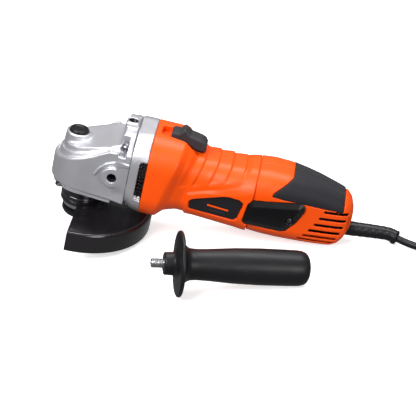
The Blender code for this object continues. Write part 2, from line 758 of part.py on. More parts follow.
def make_tail():
    for name, side in (("left", -1), ("right", 1)):
        rings = []
        for x, *values in TAIL_SECTIONS:
            rings.append([(x, side * (y + SEAM), z) for y, z in half_outline(*values)])
        if side < 0:
            rings = [one[::-1] for one in rings]
        cover = loft(f"tail_cover_{name}", rings, "orange_plastic", cap_start=False, wrap=False)
        solidify(cover, WALL)
        low, high = sorted((side * 1.0, side * 40.0))
        for z, start, end in ((5.6, 201.0, 221.5), (-1.0, 198.3, 220.9), (-7.4, 195.4, 219.9),
                              (-13.4, 192.0, 218.6), (-18.8, 188.4, 216.6), (-23.4, 184.4, 214.2)):
            cut(cover, block("vent_cutter", (start, low, z - 1.0), (end, high, z + 1.0)))
        cut(cover, rod("boot_hole_cutter", BOOT_RADIUS + 0.4, 216, 232, steps=20,
                       location=(0, 0, BOOT_Z), rotation=ALONG_X))
        recess = grip_patch(f"grip_recess_cutter_{name}", side, grow=0.35)
        solidify(recess, 2.6, offset=0.0)
        cut(cover, recess)
        grip = grip_patch(f"soft_grip_{name}", side, "soft_rubber")
        solidify(grip, 1.0)
        shade(cover)
        shade(grip)
    for side, y_of, depth in both_sides(side_plane(4.0), 5.3):
        cutter = prism(f"tail_cover_cutter_{side}", grown(COVER_OUTLINE, 0.4), y_of, depth)
        cut(bpy.data.objects[f"tail_cover_{side}"], cutter)


def make_brush_covers():
    for side, y_of, depth in both_sides(side_plane(2.0), 3.0):
        sign = 1 if side == "right" else -1
        face = prism(f"brush_cover_{side}", COVER_OUTLINE, y_of, depth, "black_plastic")
        edge = face.modifiers.new("rounded", "BEVEL")
        edge.width = 0.9 * MM
        edge.segments = 1
        edge.limit_method = "ANGLE"
        edge.angle_limit = math.radians(60)
        turn = (math.radians(-90 * sign), 0, 0)
        outer = abs(y_of(174.6))
        cut(face, rod("cover_sink_cutter", 3.6, outer - 1.9, outer + 3, steps=16,
                      location=(174.6, 0, -6.6), rotation=turn),
            rod("cover_screw_hole_cutter", 1.8, outer - 5, outer + 3, steps=12,
                location=(174.6, 0, -6.6), rotation=turn))
        cut(bpy.data.objects[f"tail_cover_{side}"],
            rod("tail_screw_hole_cutter", 1.8, 12, 34, steps=12, location=(174.6, 0, -6.6),
                rotation=turn))
        head = outer - 2.2
        screw = turned(f"brush_cover_screw_{side}", [
            (0, head + 1.4), (2.9, head + 1.4), (2.9, head + 0.3), (1.5, head + 0.3),
            (1.5, head - 8.0), (0, head - 8.0)], "zinc_screw", 12,
            location=(174.6, 0, -6.6), rotation=turn)
        shade(screw)
        shade(face, 25)


# ---------------------------------------------------------------- motor

def make_motor():
    def turn(name, profile, look, steps=28):
        # profiles here are (radius, x) with x falling, as Z becomes X
        return shade(turned(name, profile, look, steps, parent=MOTOR_AXIS, rotation=ALONG_X))

    turn("armature_shaft", [(0, 166.0), (3.2, 166.0), (3.7, 165.4), (3.7, 152.0),
                            (SHAFT_RADIUS, 152.0), (SHAFT_RADIUS, 51.0), (4.7, 51.0), (4.7, 27.0),
                            (2.3, 27.0), (2.3, 13.2), (0, 13.2)], "steel", 20)
    turn("armature_core", [(ARMATURE_RADIUS, CORE_BACK_X), (ARMATURE_RADIUS, CORE_FRONT_X),
                           (4.3, CORE_FRONT_X), (4.3, CORE_BACK_X)], "iron", 28)
    turn("winding_front", [(12.4, 85.7), (12.8, 81.0), (10.4, 76.5), (4.4, 75.5), (4.4, 85.7)],
         "copper", 20)
    turn("winding_rear", [(9.6, 136.6), (12.6, 131.0), (12.4, 126.3), (4.4, 126.3), (4.4, 136.6)],
         "copper", 20)
    turn("commutator", [(9.2, 151.5), (9.2, 139.4), (10.8, 138.8), (10.8, 136.9), (4.4, 136.9),
                        (4.4, 151.5)], "copper", 24)
    stator = ring("stator_core", STATOR_RADIUS, STATOR_BORE, CORE_FRONT_X, CORE_BACK_X,
                  "iron", 32, rotation=ALONG_X)
    cut(stator, block("stator_flat_cutter", (80, -30, 19.2), (130, 30, 40)),
        block("stator_flat_cutter_2", (80, -30, -40), (130, 30, -19.2)))
    shade(stator)
    for name, near, far in (("front", CORE_FRONT_X - GAP, CORE_FRONT_X - 8.0),
                            ("rear", CORE_BACK_X + GAP, CORE_BACK_X + 8.0)):
        low, high = sorted((near, far))
        shade(turned(f"stator_coil_{name}", [(17.6, high), (19.0, (low + high) / 2), (17.6, low),
                                             (14.8, low), (14.8, high)], "copper", 24,
                     rotation=ALONG_X))
    ball_race("pinion_bearing", 13.0, 5.0, 41.8, 49.8, ALONG_X)
    ball_race("rear_bearing", 11.0, 4.0, 154.0, 161.0, ALONG_X)
    make_fan()
    make_bracket()
    for side, sign in (("left", -1), ("right", 1)):
        make_brush(side, sign)


def make_fan():
    fan = turned("fan", [(6.4, 66.0), (7.4, 57.0), (28.6, 56.6), (28.6, 55.2), (6.4, 54.0),
                         (4.3, 54.0), (4.3, 66.0)], "black_plastic", 24, parent=MOTOR_AXIS,
                 rotation=ALONG_X)
    for k in range(FAN_BLADES):
        a = 2 * math.pi * k / FAN_BLADES
        blade = block("fan_blade_tool", (-0.7, 6.0, 56.0), (0.7, 28.0, 64.5), parent=MOTOR_AXIS,
                      rotation=(Matrix.Rotation(math.radians(90), 3, "Y")
                                @ Matrix.Rotation(a, 3, "Z")).to_euler())
        join(fan, blade)
    return fan


def make_bracket():
    """Cross piece behind the motor: it seats the rear bearing and holds both brush sleeves."""
    bracket = block("motor_bracket", (152.4, -22.8, -6.0), (155.6, 22.8, 6.0), "black_plastic")
    join(bracket, rod("bearing_cup_tool", 13.2, 153.0, 161.4, steps=20, rotation=ALONG_X))
    for sign in (-1, 1):
        low, high = sorted((11.6 * sign, 22.3 * sign))
        join(bracket, block("brush_sleeve_tool", (BRUSH_X - 5.4, low, -4.6),
                            (153.4, high, 4.6)))
    cut(bracket, turned("bearing_cup_cutter", [(0, 170), (11.3, 170), (11.3, 153.7), (9.9, 153.7),
                                               (9.9, 130), (0, 130)], steps=20, rotation=ALONG_X))
    for sign in (-1, 1):
        low, high = sorted((8.0 * sign, 25.0 * sign))
        cut(bracket, block("brush_way_cutter", (BRUSH_X - 3.6, low, -3.1),
                           (BRUSH_X + 3.6, high, 3.1)))
    return shade(bracket)


def make_brush(side, sign):
    low, high = sorted((9.6 * sign, 18.4 * sign))
    block(f"carbon_brush_{side}", (BRUSH_X - 3.2, low, -2.7), (BRUSH_X + 3.2, high, 2.7), "carbon")
    coil(f"brush_spring_{side}", 2.0, 0.35, 19.2, 22.2, 2, 8, TOOL,
         (math.radians(-90 * sign), 0, 0), (BRUSH_X, 0, 0))


# ---------------------------------------------------------------- switch

def make_switch():
    """Slide switch: thumb piece on top, long rod inside and the switch unit in the tail."""
    profile = [(64.3, 35.0), (64.3, 37.4), (66.0, 38.8), (71.0, 39.3), (74.0, 43.0), (75.6, 42.6),
               (80.0, 38.9), (91.0, 36.6), (94.2, 33.6), (94.6, 27.2), (89.0, 27.0),
               (81.0, 31.0), (72.6, 36.5), (70.0, 36.5), (70.0, 35.0)]
    left = [(x, -7.2, z) for x, z in profile]
    right = [(x, 7.2, z) for x, z in profile]
    knob = loft("switch_knob", [left, right], "black_plastic")
    edge = knob.modifiers.new("rounded", "BEVEL")
    edge.width = 1.3 * MM
    edge.segments = 2
    edge.limit_method = "ANGLE"
    edge.angle_limit = math.radians(75)
    join(knob, block("knob_stem_tool", (85.6, -2.6, 22.0), (91.6, 2.6, 30.0)))
    knob.parent = SWITCH_AXIS
    knob.matrix_parent_inverse = Matrix.Translation(-SWITCH_AXIS.location)
    shade(knob, 30)
    bar = block("switch_rod", (85.6, -3.6, 19.9), (176.0, 3.6, 21.7), "nylon_white")
    join(bar, block("rod_hook_tool", (172.6, -3.6, 14.8), (176.0, 3.6, 21.0)))
    bar.parent = SWITCH_AXIS
    bar.matrix_parent_inverse = Matrix.Translation(-SWITCH_AXIS.location)
    unit = block("power_switch", (177.0, -8.0, -6.0), (199.0, 8.0, 13.0), "black_plastic", 0.8)
    join(unit, block("switch_lever_tool", (180.0, -2.4, 11.0), (184.0, 2.4, 16.4)))


# ---------------------------------------------------------------- boot, cord and plug

def world_point(x, y, z):
    """Ground frame, in metres, of a point given in the tool frame in millimetres."""
    turn = Matrix.Rotation(PITCH, 3, "Y")
    return turn @ (Vector((x, y, z)) * MM) + Vector((-ORIGIN_X, -ORIGIN_Y, SPINDLE_HEIGHT)) * MM


def smooth_path(points, spacing):
    """Points read at an even spacing from a smooth curve through the given points."""
    knots = [Vector(p) for p in points]
    knots = [2 * knots[0] - knots[1]] + knots + [2 * knots[-1] - knots[-2]]
    fine = []
    for a, b, c, d in zip(knots, knots[1:], knots[2:], knots[3:]):
        for k in range(24):
            t = k / 24
            fine.append(0.5 * (2 * b + (c - a) * t + (2 * a - 5 * b + 4 * c - d) * t * t
                               + (3 * b - a - 3 * c + d) * t ** 3))
    fine.append(knots[-2])
    total = sum((b - a).length for a, b in zip(fine, fine[1:]))
    count = max(2, round(total / spacing))
    step = total / count
    path = [fine[0]]
    travelled = 0.0
    for a, b in zip(fine, fine[1:]):
        travelled += (b - a).length
        if travelled >= step * len(path) and len(path) < count:
            path.append(b.copy())
    path.append(fine[-1])
    return path


def tube(name, points, radii, look, resolution=2):
    curve = bpy.data.curves.new(name, "CURVE")
    curve.dimensions = "3D"
    curve.bevel_depth = 1.0
    curve.bevel_resolution = resolution
    curve.use_fill_caps = True
    path = curve.splines.new("POLY")
    path.points.add(len(points) - 1)
    for point, place, radius in zip(path.points, points, radii):
        point.co = (*place, 1.0)
        point.radius = radius * MM
    made = bpy.data.objects.new(name, curve)
    curve.materials.append(finish(look))
    PARTS.objects.link(made)
    return made


# The cord lies on the ground; its route is in metres, from inside the boot to the coil
GROUND = CORD_RADIUS * MM + 0.0002
BOOT_END = Vector((0.1641, 0.0249, 0.0070))
CORD_ROUTE = [(0.1641, 0.0249, 0.0070), (0.1705, 0.0228, 0.0052), (0.1795, 0.0197, 0.0038),
              (0.1885, 0.0167, GROUND), (0.1975, 0.0142, GROUND), (0.2065, 0.0129, GROUND),
              (0.2140, 0.0125, GROUND)]
COIL_CENTRE = (0.2390, -0.0287)
TURNS_ACROSS = 3               # the coil is three turns wide and three turns high
COIL_MIDDLE = 35.0             # radius at the middle of the turns
PLUG_PLACE = (27.0, 16.0)      # where the cord enters the plug, from the coil's centre


def make_boot_and_cord():
    start = world_point(217.0, 0, BOOT_Z)
    mid = world_point(228.0, 0, BOOT_Z)
    route = smooth_path([start, mid, mid.lerp(BOOT_END, 0.5) + Vector((0, 0.0004, 0.0004)),
                         BOOT_END], 0.006)
    radii = [BOOT_RADIUS - 0.8 * k / (len(route) - 1) for k in range(len(route))]
    tube("cord_boot", route, radii, "cord_rubber", 3)
    start = BOOT_END + (Vector(CORD_ROUTE[1]) - BOOT_END).normalized() * 4 * GAP * MM
    route = smooth_path([start, *CORD_ROUTE[1:]], 0.004)
    tube("power_cord", route, [CORD_RADIUS] * len(route), "cord_rubber")
    half = TURNS_ACROSS * CORD_RADIUS + 0.1
    coil_top = 2 * half + 0.2
    shade(ring("cord_coil", COIL_MIDDLE + half, COIL_MIDDLE - half, 0.2, coil_top, "cord_rubber",
               28, parent=None, location=(COIL_CENTRE[0] / MM, COIL_CENTRE[1] / MM, 0)))
    make_plug(coil_top + GAP)


def make_plug(floor):
    """Moulded two pin mains plug that lies on the coil; it is made along -Y from its strain relief."""
    place = empty("plug_frame", (COIL_CENTRE[0] / MM + PLUG_PLACE[0],
                                 COIL_CENTRE[1] / MM + PLUG_PLACE[1], floor + 11.0),
                  (math.radians(90), 0, 0))

    def outline(half_width, half_height, radius):
        return full_outline(half_width, half_height, -half_height, radius, 3)

    rings = []
    for reach, *values in ((0.0, 4.6, 4.6, 4.5), (16.0, 5.6, 5.6, 5.5), (22.0, 10.0, 8.6, 6.0),
                           (34.0, 16.0, 11.0, 7.0), (56.0, 17.5, 11.0, 9.0)):
        rings.append([(y, z, reach) for y, z in outline(*values)])
    plug = loft("mains_plug", rings, "cord_rubber", parent=place)
    for side in (-1, 1):
        join(plug, rod("plug_pin_tool", 2.4, 50.0, 75.0, steps=12, parent=place,
                       location=(9.5 * side, 0, 0)))
    return shade(plug)


# ---------------------------------------------------------------- side handle

HANDLE_PLACE = (87.1, -95.0)   # middle of its flange on the ground, from the spindle's foot
HANDLE_YAW = math.radians(13.9)
HANDLE_FLANGE = 26.5
HANDLE_END = 14.3
HANDLE_REACH = 96.0            # from the flange to where the end of the grip touches the ground
HANDLE_TILT = math.atan((HANDLE_FLANGE - HANDLE_END) / HANDLE_REACH)


def make_side_handle():
    """Side handle, unscrewed and lying on its flange rim and on the end of its grip."""
    turn = (Matrix.Rotation(HANDLE_YAW, 3, "Z")
            @ Matrix.Rotation(math.pi / 2 + HANDLE_TILT, 3, "Y")).to_euler()
    x, y = HANDLE_PLACE
    place = empty("side_handle_frame", (x - ORIGIN_X, y - ORIGIN_Y,
                                        HANDLE_FLANGE * math.cos(HANDLE_TILT) + GAP), turn)
    bore = HANDLE_THREAD_RADIUS + GAP
    profile = [(0, 106.0), (8.0, 105.6), (12.6, 103.0), (14.3, 98.0), (14.6, 88.0), (14.8, 66.0),
               (14.2, 44.0), (12.8, 24.0), (12.4, 14.0), (13.4, 5.0), (HANDLE_FLANGE, 1.4),
               (HANDLE_FLANGE, -0.4), (10.6, -3.2), (9.2, -4.0), (9.0, -12.0), (bore, -12.0),
               (bore, 20.3), (0, 20.3)]
    shade(turned("side_handle_grip", profile, "black_plastic", 28, parent=place))
    radius = HANDLE_THREAD_RADIUS
    stud = [(0, 20.0), (radius, 20.0), (radius, -21.2), (radius - 1.0, -22.2), (0, -22.2)]
    shade(turned("side_handle_stud", stud, "steel", 16, parent=place))


def main():
    make_gear_housing()
    make_bearing_cover()
    make_flange_plate()
    make_head_fasteners()
    make_spindle()
    make_bevel_gear()
    make_pinion()
    make_disc_fixings()
    make_spindle_lock()
    make_guard()
    make_motor_housing()
    make_labels()
    make_tail()
    make_brush_covers()
    make_motor()
    make_switch()
    make_side_handle()
    make_boot_and_cord()


main()
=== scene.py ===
"""Looks of a small corded angle grinder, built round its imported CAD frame.

Lengths in the tables and calls are in millimetres, in the tool's own frame: the origin is where
the spindle axis crosses the motor axis, +X runs back to the tail, +Z up the spindle and -Y is
the tool's left side. The cord's route is in metres on the ground, as in the CAD source.
Cast and moulded pieces are distance fields, turned into meshes by surface_net.
"""
import json
import math

import bmesh
import bpy
import numpy as np
from mathutils import Matrix, Vector


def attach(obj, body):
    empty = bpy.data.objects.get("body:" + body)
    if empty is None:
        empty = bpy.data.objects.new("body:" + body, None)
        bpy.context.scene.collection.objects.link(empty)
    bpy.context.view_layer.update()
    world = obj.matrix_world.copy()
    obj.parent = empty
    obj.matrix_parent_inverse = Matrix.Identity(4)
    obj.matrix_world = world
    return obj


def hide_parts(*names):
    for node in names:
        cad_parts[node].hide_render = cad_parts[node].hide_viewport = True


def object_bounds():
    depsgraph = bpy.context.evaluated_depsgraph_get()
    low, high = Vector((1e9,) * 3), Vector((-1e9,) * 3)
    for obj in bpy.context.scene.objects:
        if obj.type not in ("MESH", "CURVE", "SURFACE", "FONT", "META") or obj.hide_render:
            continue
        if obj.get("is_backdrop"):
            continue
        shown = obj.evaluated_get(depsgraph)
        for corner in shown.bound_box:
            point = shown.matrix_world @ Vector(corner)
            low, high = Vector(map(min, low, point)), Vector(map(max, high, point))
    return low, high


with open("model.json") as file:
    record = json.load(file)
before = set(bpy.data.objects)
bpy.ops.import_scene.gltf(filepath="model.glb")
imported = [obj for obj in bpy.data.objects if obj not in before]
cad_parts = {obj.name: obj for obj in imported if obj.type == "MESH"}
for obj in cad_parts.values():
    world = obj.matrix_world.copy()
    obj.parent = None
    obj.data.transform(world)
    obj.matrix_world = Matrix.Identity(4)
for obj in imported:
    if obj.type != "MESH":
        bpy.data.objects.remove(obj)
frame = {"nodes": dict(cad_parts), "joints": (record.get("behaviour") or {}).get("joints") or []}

CAD_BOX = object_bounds()
MM = 0.001
VOXEL = 0.55

JOINTS = {joint["name"]: joint for joint in frame["joints"]}
ALONG = Vector(JOINTS["motor_spin"]["axis"]).normalized()
UP = Vector(JOINTS["spindle_spin"]["axis"]).normalized()
MIDDLE = Vector(JOINTS["spindle_spin"]["pos_m"])
TOOL = (Matrix.Translation(MIDDLE)
        @ Matrix((ALONG, UP.cross(ALONG), UP)).transposed().to_4x4() @ Matrix.Scale(MM, 4))


# ---------------------------------------------------------------- camera and light

VIEW_TARGET = Vector((0.0047, 0.0292, 0.0244))
VIEW_DISTANCE = 1.30
VIEW_AZIMUTH = math.radians(6.7)
VIEW_ELEVATION = math.radians(29.6)
VIEW_ROLL = math.radians(-0.35)
FOCAL_PIXELS = 1543.1
FRAME_PIXELS = 416
WORLD_STRENGTH = 0.55
FLOOR_GLOW = 0.62


def linked(name, data):
    """A new object in the scene that holds the data."""
    made = bpy.data.objects.new(name, data)
    bpy.context.scene.collection.objects.link(made)
    return made


def make_camera():
    back = Vector((math.sin(VIEW_AZIMUTH) * math.cos(VIEW_ELEVATION),
                   -math.cos(VIEW_AZIMUTH) * math.cos(VIEW_ELEVATION), math.sin(VIEW_ELEVATION)))
    data = bpy.data.cameras.new("camera")
    data.sensor_width = 36.0
    data.lens = FOCAL_PIXELS / FRAME_PIXELS * data.sensor_width
    data.clip_start = 0.01
    camera = linked("camera", data)
    camera.location = VIEW_TARGET + back * VIEW_DISTANCE
    turn = back.to_track_quat("Z", "Y").to_matrix() @ Matrix.Rotation(VIEW_ROLL, 3, "Z")
    camera.rotation_euler = turn.to_euler()
    bpy.context.scene.camera = camera


def area_light(name, place, size, power, colour=(1.0, 1.0, 1.0)):
    data = bpy.data.lights.new(name, "AREA")
    data.shape = "RECTANGLE"
    data.size, data.size_y = size
    data.energy = power
    data.color = colour
    light = linked(name, data)
    light.location = place
    light.rotation_euler = (VIEW_TARGET - Vector(place)).to_track_quat("-Z", "Y").to_euler()


def make_world():
    """Soft studio: bright overhead, darker round the horizon and below."""
    world = bpy.data.worlds.new("studio")
    world.use_nodes = True
    tree = world.node_tree
    place = tree.nodes.new("ShaderNodeTexCoord")
    split = tree.nodes.new("ShaderNodeSeparateXYZ")
    shades = tree.nodes.new("ShaderNodeValToRGB")
    stops = [(0.0, 0.46), (0.47, 0.42), (0.55, 0.28), (0.75, 0.50), (1.0, 0.95)]
    for _ in stops[2:]:
        shades.color_ramp.elements.new(0.5)
    for stop, (height, value) in zip(shades.color_ramp.elements, stops):
        stop.position = height
        stop.color = (value, value, value, 1.0)
    lift = tree.nodes.new("ShaderNodeMapRange")
    lift.inputs["From Min"].default_value = -1.0
    tree.links.new(place.outputs["Generated"], split.inputs["Vector"])
    tree.links.new(split.outputs["Z"], lift.inputs["Value"])
    tree.links.new(lift.outputs["Result"], shades.inputs["Fac"])
    tree.links.new(shades.outputs["Color"], tree.nodes["Background"].inputs["Color"])
    tree.nodes["Background"].inputs["Strength"].default_value = WORLD_STRENGTH
    bpy.context.scene.world = world


def make_stage():
    make_world()
    bpy.context.scene.view_settings.view_transform = "Standard"
    area_light("key", (-0.40, -0.60, 0.80), (0.60, 0.40), 10.5)
    area_light("top", (0.20, 0.35, 1.0), (0.9, 0.30), 7.5)
    area_light("front", (0.75, -0.85, 0.40), (0.45, 0.35), 5.0)
    bm = bmesh.new()
    bmesh.ops.create_grid(bm, x_segments=4, y_segments=4, size=4.0)
    mesh = bpy.data.meshes.new("floor")
    bm.to_mesh(mesh)
    bm.free()
    floor = linked("floor", mesh)
    floor.location.z = -0.0002
    white = plain("floor_white", (0.92, 0.92, 0.92), 0.9)
    shader = white.node_tree.nodes["Principled BSDF"]
    shader.inputs["Emission Color"].default_value = (1.0, 1.0, 1.0, 1.0)
    shader.inputs["Emission Strength"].default_value = FLOOR_GLOW
    mesh.materials.append(white)
    floor.visible_glossy = False
    floor.visible_diffuse = False
    floor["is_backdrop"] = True


# ---------------------------------------------------------------- materials

def node(tree, kind, **values):
    """A new shader node, with its inputs set by name; spaces in a name are written as _."""
    made = tree.nodes.new(kind)
    for name, value in values.items():
        made.inputs[name.replace("_", " ")].default_value = value
    return made


def plain(name, colour, roughness, metallic=0.0):
    made = bpy.data.materials.new(name)
    made.use_nodes = True
    shader = made.node_tree.nodes["Principled BSDF"]
    shader.inputs["Base Color"].default_value = (*colour, 1.0)
    shader.inputs["Roughness"].default_value = roughness
    shader.inputs["Metallic"].default_value = metallic
    return made


def textured(name, colour, roughness, metallic=0.0, grain=0.0004, bump=0.15, shift=0.08,
             wear=0.0, worn=(0.8, 0.8, 0.8), coat=0.0, sheen=0.0, shine=0.5):
    """A surface with a fine grain in its bump, and slow drifts of colour and of roughness.

    grain is the size of the grain in metres, shift is how much the colour drifts, and wear is
    how much of the surface shows the worn colour, in small patches.
    """
    made = plain(name, colour, roughness, metallic)
    tree = made.node_tree
    shader = tree.nodes["Principled BSDF"]
    shader.inputs["Specular IOR Level"].default_value = shine
    shader.inputs["Coat Weight"].default_value = coat
    shader.inputs["Coat Roughness"].default_value = 0.12
    shader.inputs["Sheen Weight"].default_value = sheen
    place = tree.nodes.new("ShaderNodeTexCoord")
    fine = node(tree, "ShaderNodeTexNoise", Scale=1.0 / grain, Detail=3.0, Roughness=0.6)
    slow = node(tree, "ShaderNodeTexNoise", Scale=60.0, Detail=4.0, Roughness=0.55)
    for texture in (fine, slow):
        tree.links.new(place.outputs["Object"], texture.inputs["Vector"])
    relief = node(tree, "ShaderNodeBump", Strength=bump, Distance=grain * 0.5)
    tree.links.new(fine.outputs["Fac"], relief.inputs["Height"])
    tree.links.new(relief.outputs["Normal"], shader.inputs["Normal"])
    tint = node(tree, "ShaderNodeMix")
    tint.data_type = "RGBA"
    tint.inputs["A"].default_value = (*[c * (1 - shift) for c in colour], 1.0)
    tint.inputs["B"].default_value = (*[min(1.0, c * (1 + shift)) for c in colour], 1.0)
    tree.links.new(slow.outputs["Fac"], tint.inputs["Factor"])
    tone = tint.outputs["Result"]
    if wear:
        patch = node(tree, "ShaderNodeTexNoise", Scale=900.0, Detail=6.0, Roughness=0.7)
        tree.links.new(place.outputs["Object"], patch.inputs["Vector"])
        ramp = tree.nodes.new("ShaderNodeMapRange")
        ramp.inputs["From Min"].default_value = 0.72 - 0.2 * wear
        ramp.inputs["From Max"].default_value = 0.86 - 0.2 * wear
        tree.links.new(patch.outputs["Fac"], ramp.inputs["Value"])
        mix = node(tree, "ShaderNodeMix")
        mix.data_type = "RGBA"
        mix.inputs["B"].default_value = (*worn, 1.0)
        tree.links.new(ramp.outputs["Result"], mix.inputs["Factor"])
        tree.links.new(tone, mix.inputs["A"])
        tone = mix.outputs["Result"]
    tree.links.new(tone, shader.inputs["Base Color"])
    rough = tree.nodes.new("ShaderNodeMapRange")
    rough.inputs["To Min"].default_value = max(0.05, roughness - 0.07)
    rough.inputs["To Max"].default_value = min(1.0, roughness + 0.07)
    tree.links.new(slow.outputs["Fac"], rough.inputs["Value"])
    tree.links.new(rough.outputs["Result"], shader.inputs["Roughness"])
    return made


MATERIALS = {
    "aluminium": dict(colour=(0.66, 0.66, 0.70), roughness=0.36, metallic=0.75, grain=0.0007,
                      bump=0.7, shift=0.09),
    "steel": dict(colour=(0.50, 0.51, 0.53), roughness=0.30, metallic=1.0, grain=0.0003, bump=0.2),
    "zinc_screw": dict(colour=(0.22, 0.22, 0.25), roughness=0.32, metallic=1.0, grain=0.0004),
    "iron": dict(colour=(0.20, 0.20, 0.22), roughness=0.45, metallic=1.0, grain=0.0005, bump=0.4),
    "copper": dict(colour=(0.72, 0.30, 0.12), roughness=0.32, metallic=1.0, grain=0.0005,
                   bump=0.6),
    "carbon": dict(colour=(0.03, 0.03, 0.03), roughness=0.70),
    "orange_plastic": dict(colour=(1.0, 0.088, 0.0), roughness=0.42, grain=0.0005, bump=0.12,
                           shift=0.03, shine=0.35),
    "black_plastic": dict(colour=(0.006, 0.006, 0.007), roughness=0.28, grain=0.0006, bump=0.15,
                          shine=0.4),
    "knob_plastic": dict(colour=(0.035, 0.034, 0.038), roughness=0.48, grain=0.0006, bump=0.4,
                         shine=0.3),
    "handle_plastic": dict(colour=(0.008, 0.008, 0.0095), roughness=0.40, grain=0.0008, bump=0.3,
                           shine=0.3),
    "soft_rubber": dict(colour=(0.011, 0.011, 0.015), roughness=0.60, grain=0.0005, bump=0.5,
                        shine=0.3, sheen=0.08),
    "guard_paint": dict(colour=(0.010, 0.008, 0.010), roughness=0.20, grain=0.0009, bump=0.12,
                        coat=0.5, wear=0.15, worn=(0.10, 0.09, 0.09)),
    "black_oxide": dict(colour=(0.025, 0.024, 0.027), roughness=0.30, metallic=0.6,
                        grain=0.0004, bump=0.2),
    "label_film": dict(colour=(0.014, 0.013, 0.015), roughness=0.36, grain=0.0004, bump=0.1,
                       shine=0.35),
    "cord_rubber": dict(colour=(0.007, 0.007, 0.009), roughness=0.36, grain=0.0007, bump=0.3,
                        shine=0.35),
    "nylon_white": dict(colour=(0.75, 0.74, 0.70), roughness=0.50),
    "tie_black": dict(colour=(0.02, 0.02, 0.02), roughness=0.5, grain=0.0006, bump=0.4),
}
SLOT_OF = {"knob_plastic": "black_plastic", "handle_plastic": "black_plastic",
           "black_oxide": "steel", "tie_black": "black_plastic"}
FINISHES = {}


def finish(name):
    if name not in FINISHES:
        FINISHES[name] = textured(name, **MATERIALS[name])
    return FINISHES[name]


# ---------------------------------------------------------------- pieces

def settle(piece, look, body, replaces=()):
    """Give a new piece its material, its body and the CAD nodes that it stands for."""
    piece.data.transform(piece.matrix_world)
    piece.matrix_world = Matrix.Identity(4)
    piece.data.materials.clear()
    piece.data.materials.append(finish(look))
    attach(piece, body)
    if replaces:
        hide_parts(*replaces)
    SLOT_OF.get(look, look)
    return piece


def spot(x, y, z, turn=0, axis="Z"):
    """Placement at a point of the tool's frame, turned by some degrees about one of its axes."""
    return TOOL @ Matrix.Translation((x, y, z)) @ Matrix.Rotation(math.radians(turn), 4, axis)


def mesh_piece(name, points, faces, place=None, sharp=None):
    mesh = bpy.data.meshes.new(name)
    mesh.from_pydata([tuple(p) for p in points], [], [tuple(f) for f in faces])
    mesh.update()
    piece = linked(name, mesh)
    piece.matrix_world = TOOL if place is None else place
    mesh.shade_smooth()
    if sharp:
        mesh.set_sharp_from_angle(angle=math.radians(sharp))
    return piece


def apply_boolean(piece, *cutters, operation="DIFFERENCE"):
    for cutter in cutters:
        step = piece.modifiers.new("cut", "BOOLEAN")
        step.operation = operation
        step.object = cutter
        step.solver = "EXACT"
    bpy.context.view_layer.update()
    made = bpy.data.meshes.new_from_object(piece.evaluated_get(
        bpy.context.evaluated_depsgraph_get()))
    piece.modifiers.clear()
    piece.data = made
    for cutter in cutters:
        bpy.data.objects.remove(cutter)
    return piece


def lathe(name, profile, place=None, steps=96, relief=None, sharp=32):
    """Turn (radius, height) points round Z, down the outer side first.

    relief(angle, radius, height) may return a change of radius, which makes threads and flutes.
    """
    rows = []
    points = []
    for r, z in profile:
        if r <= 1e-6:
            rows.append([len(points)] * steps)
            points.append((0.0, 0.0, z))
            continue
        rows.append(list(range(len(points), len(points) + steps)))
        for k in range(steps):
            a = 2 * math.pi * k / steps
            s = r + (relief(a, r, z) if relief else 0.0)
            points.append((s * math.cos(a), s * math.sin(a), z))
    if profile[0][0] > 1e-6:
        rows.append(rows[0])
    faces = []
    for upper, lower in zip(rows, rows[1:]):
        for k in range(steps):
            n = (k + 1) % steps
            face = [upper[k], lower[k], lower[n], upper[n]]
            face = [v for i, v in enumerate(face) if v != face[i - 1]]
            if len(face) > 2:
                faces.append(face)
    return mesh_piece(name, points, faces, place, sharp=sharp)


def round_corner(before, corner, after, radius, share, steps):
    """Points on a curve in place of one corner, which takes at most that share of each side."""
    a, b, c = Vector(before), Vector(corner), Vector(after)
    reach = min(radius, (a - b).length * share, (c - b).length * share)
    start = b + (a - b).normalized() * reach
    end = b + (c - b).normalized() * reach
    return [(1 - t) ** 2 * start + 2 * t * (1 - t) * b + t * t * end
            for t in (k / steps for k in range(steps + 1))]


def rounded(profile, radius, steps=4):
    """The same (radius, height) profile with its inner corners rounded."""
    out = [profile[0]]
    for corner in zip(profile, profile[1:], profile[2:]):
        out += [tuple(p) for p in round_corner(*corner, radius, 0.45, steps)]
    return [*out, profile[-1]]


def turned(name, profile, look, body, cad=(), place=None, steps=96, relief=None, sharp=32):
    """A finished piece made by lathe, which stands for the CAD nodes named in cad."""
    return settle(lathe(name, profile, place, steps, relief, sharp), look, body, cad)


def smooth_path(points, count):
    """Evenly spaced points on a smooth curve through the given points."""
    knots = [Vector(p) for p in points]
    knots = [2 * knots[0] - knots[1]] + knots + [2 * knots[-1] - knots[-2]]
    fine = []
    for a, b, c, d in zip(knots, knots[1:], knots[2:], knots[3:]):
        for k in range(24):
            t = k / 24
            fine.append(0.5 * (2 * b + (c - a) * t + (2 * a - 5 * b + 4 * c - d) * t * t
                               + (3 * b - a - 3 * c + d) * t ** 3))
    fine.append(knots[-2])
    walked = np.concatenate([[0.0], np.cumsum([(b - a).length for a, b in zip(fine, fine[1:])])])
    places = np.linspace(0.0, walked[-1], count)
    columns = [np.interp(places, walked, [p[axis] for p in fine]) for axis in range(3)]
    return [Vector(p) for p in zip(*columns)]


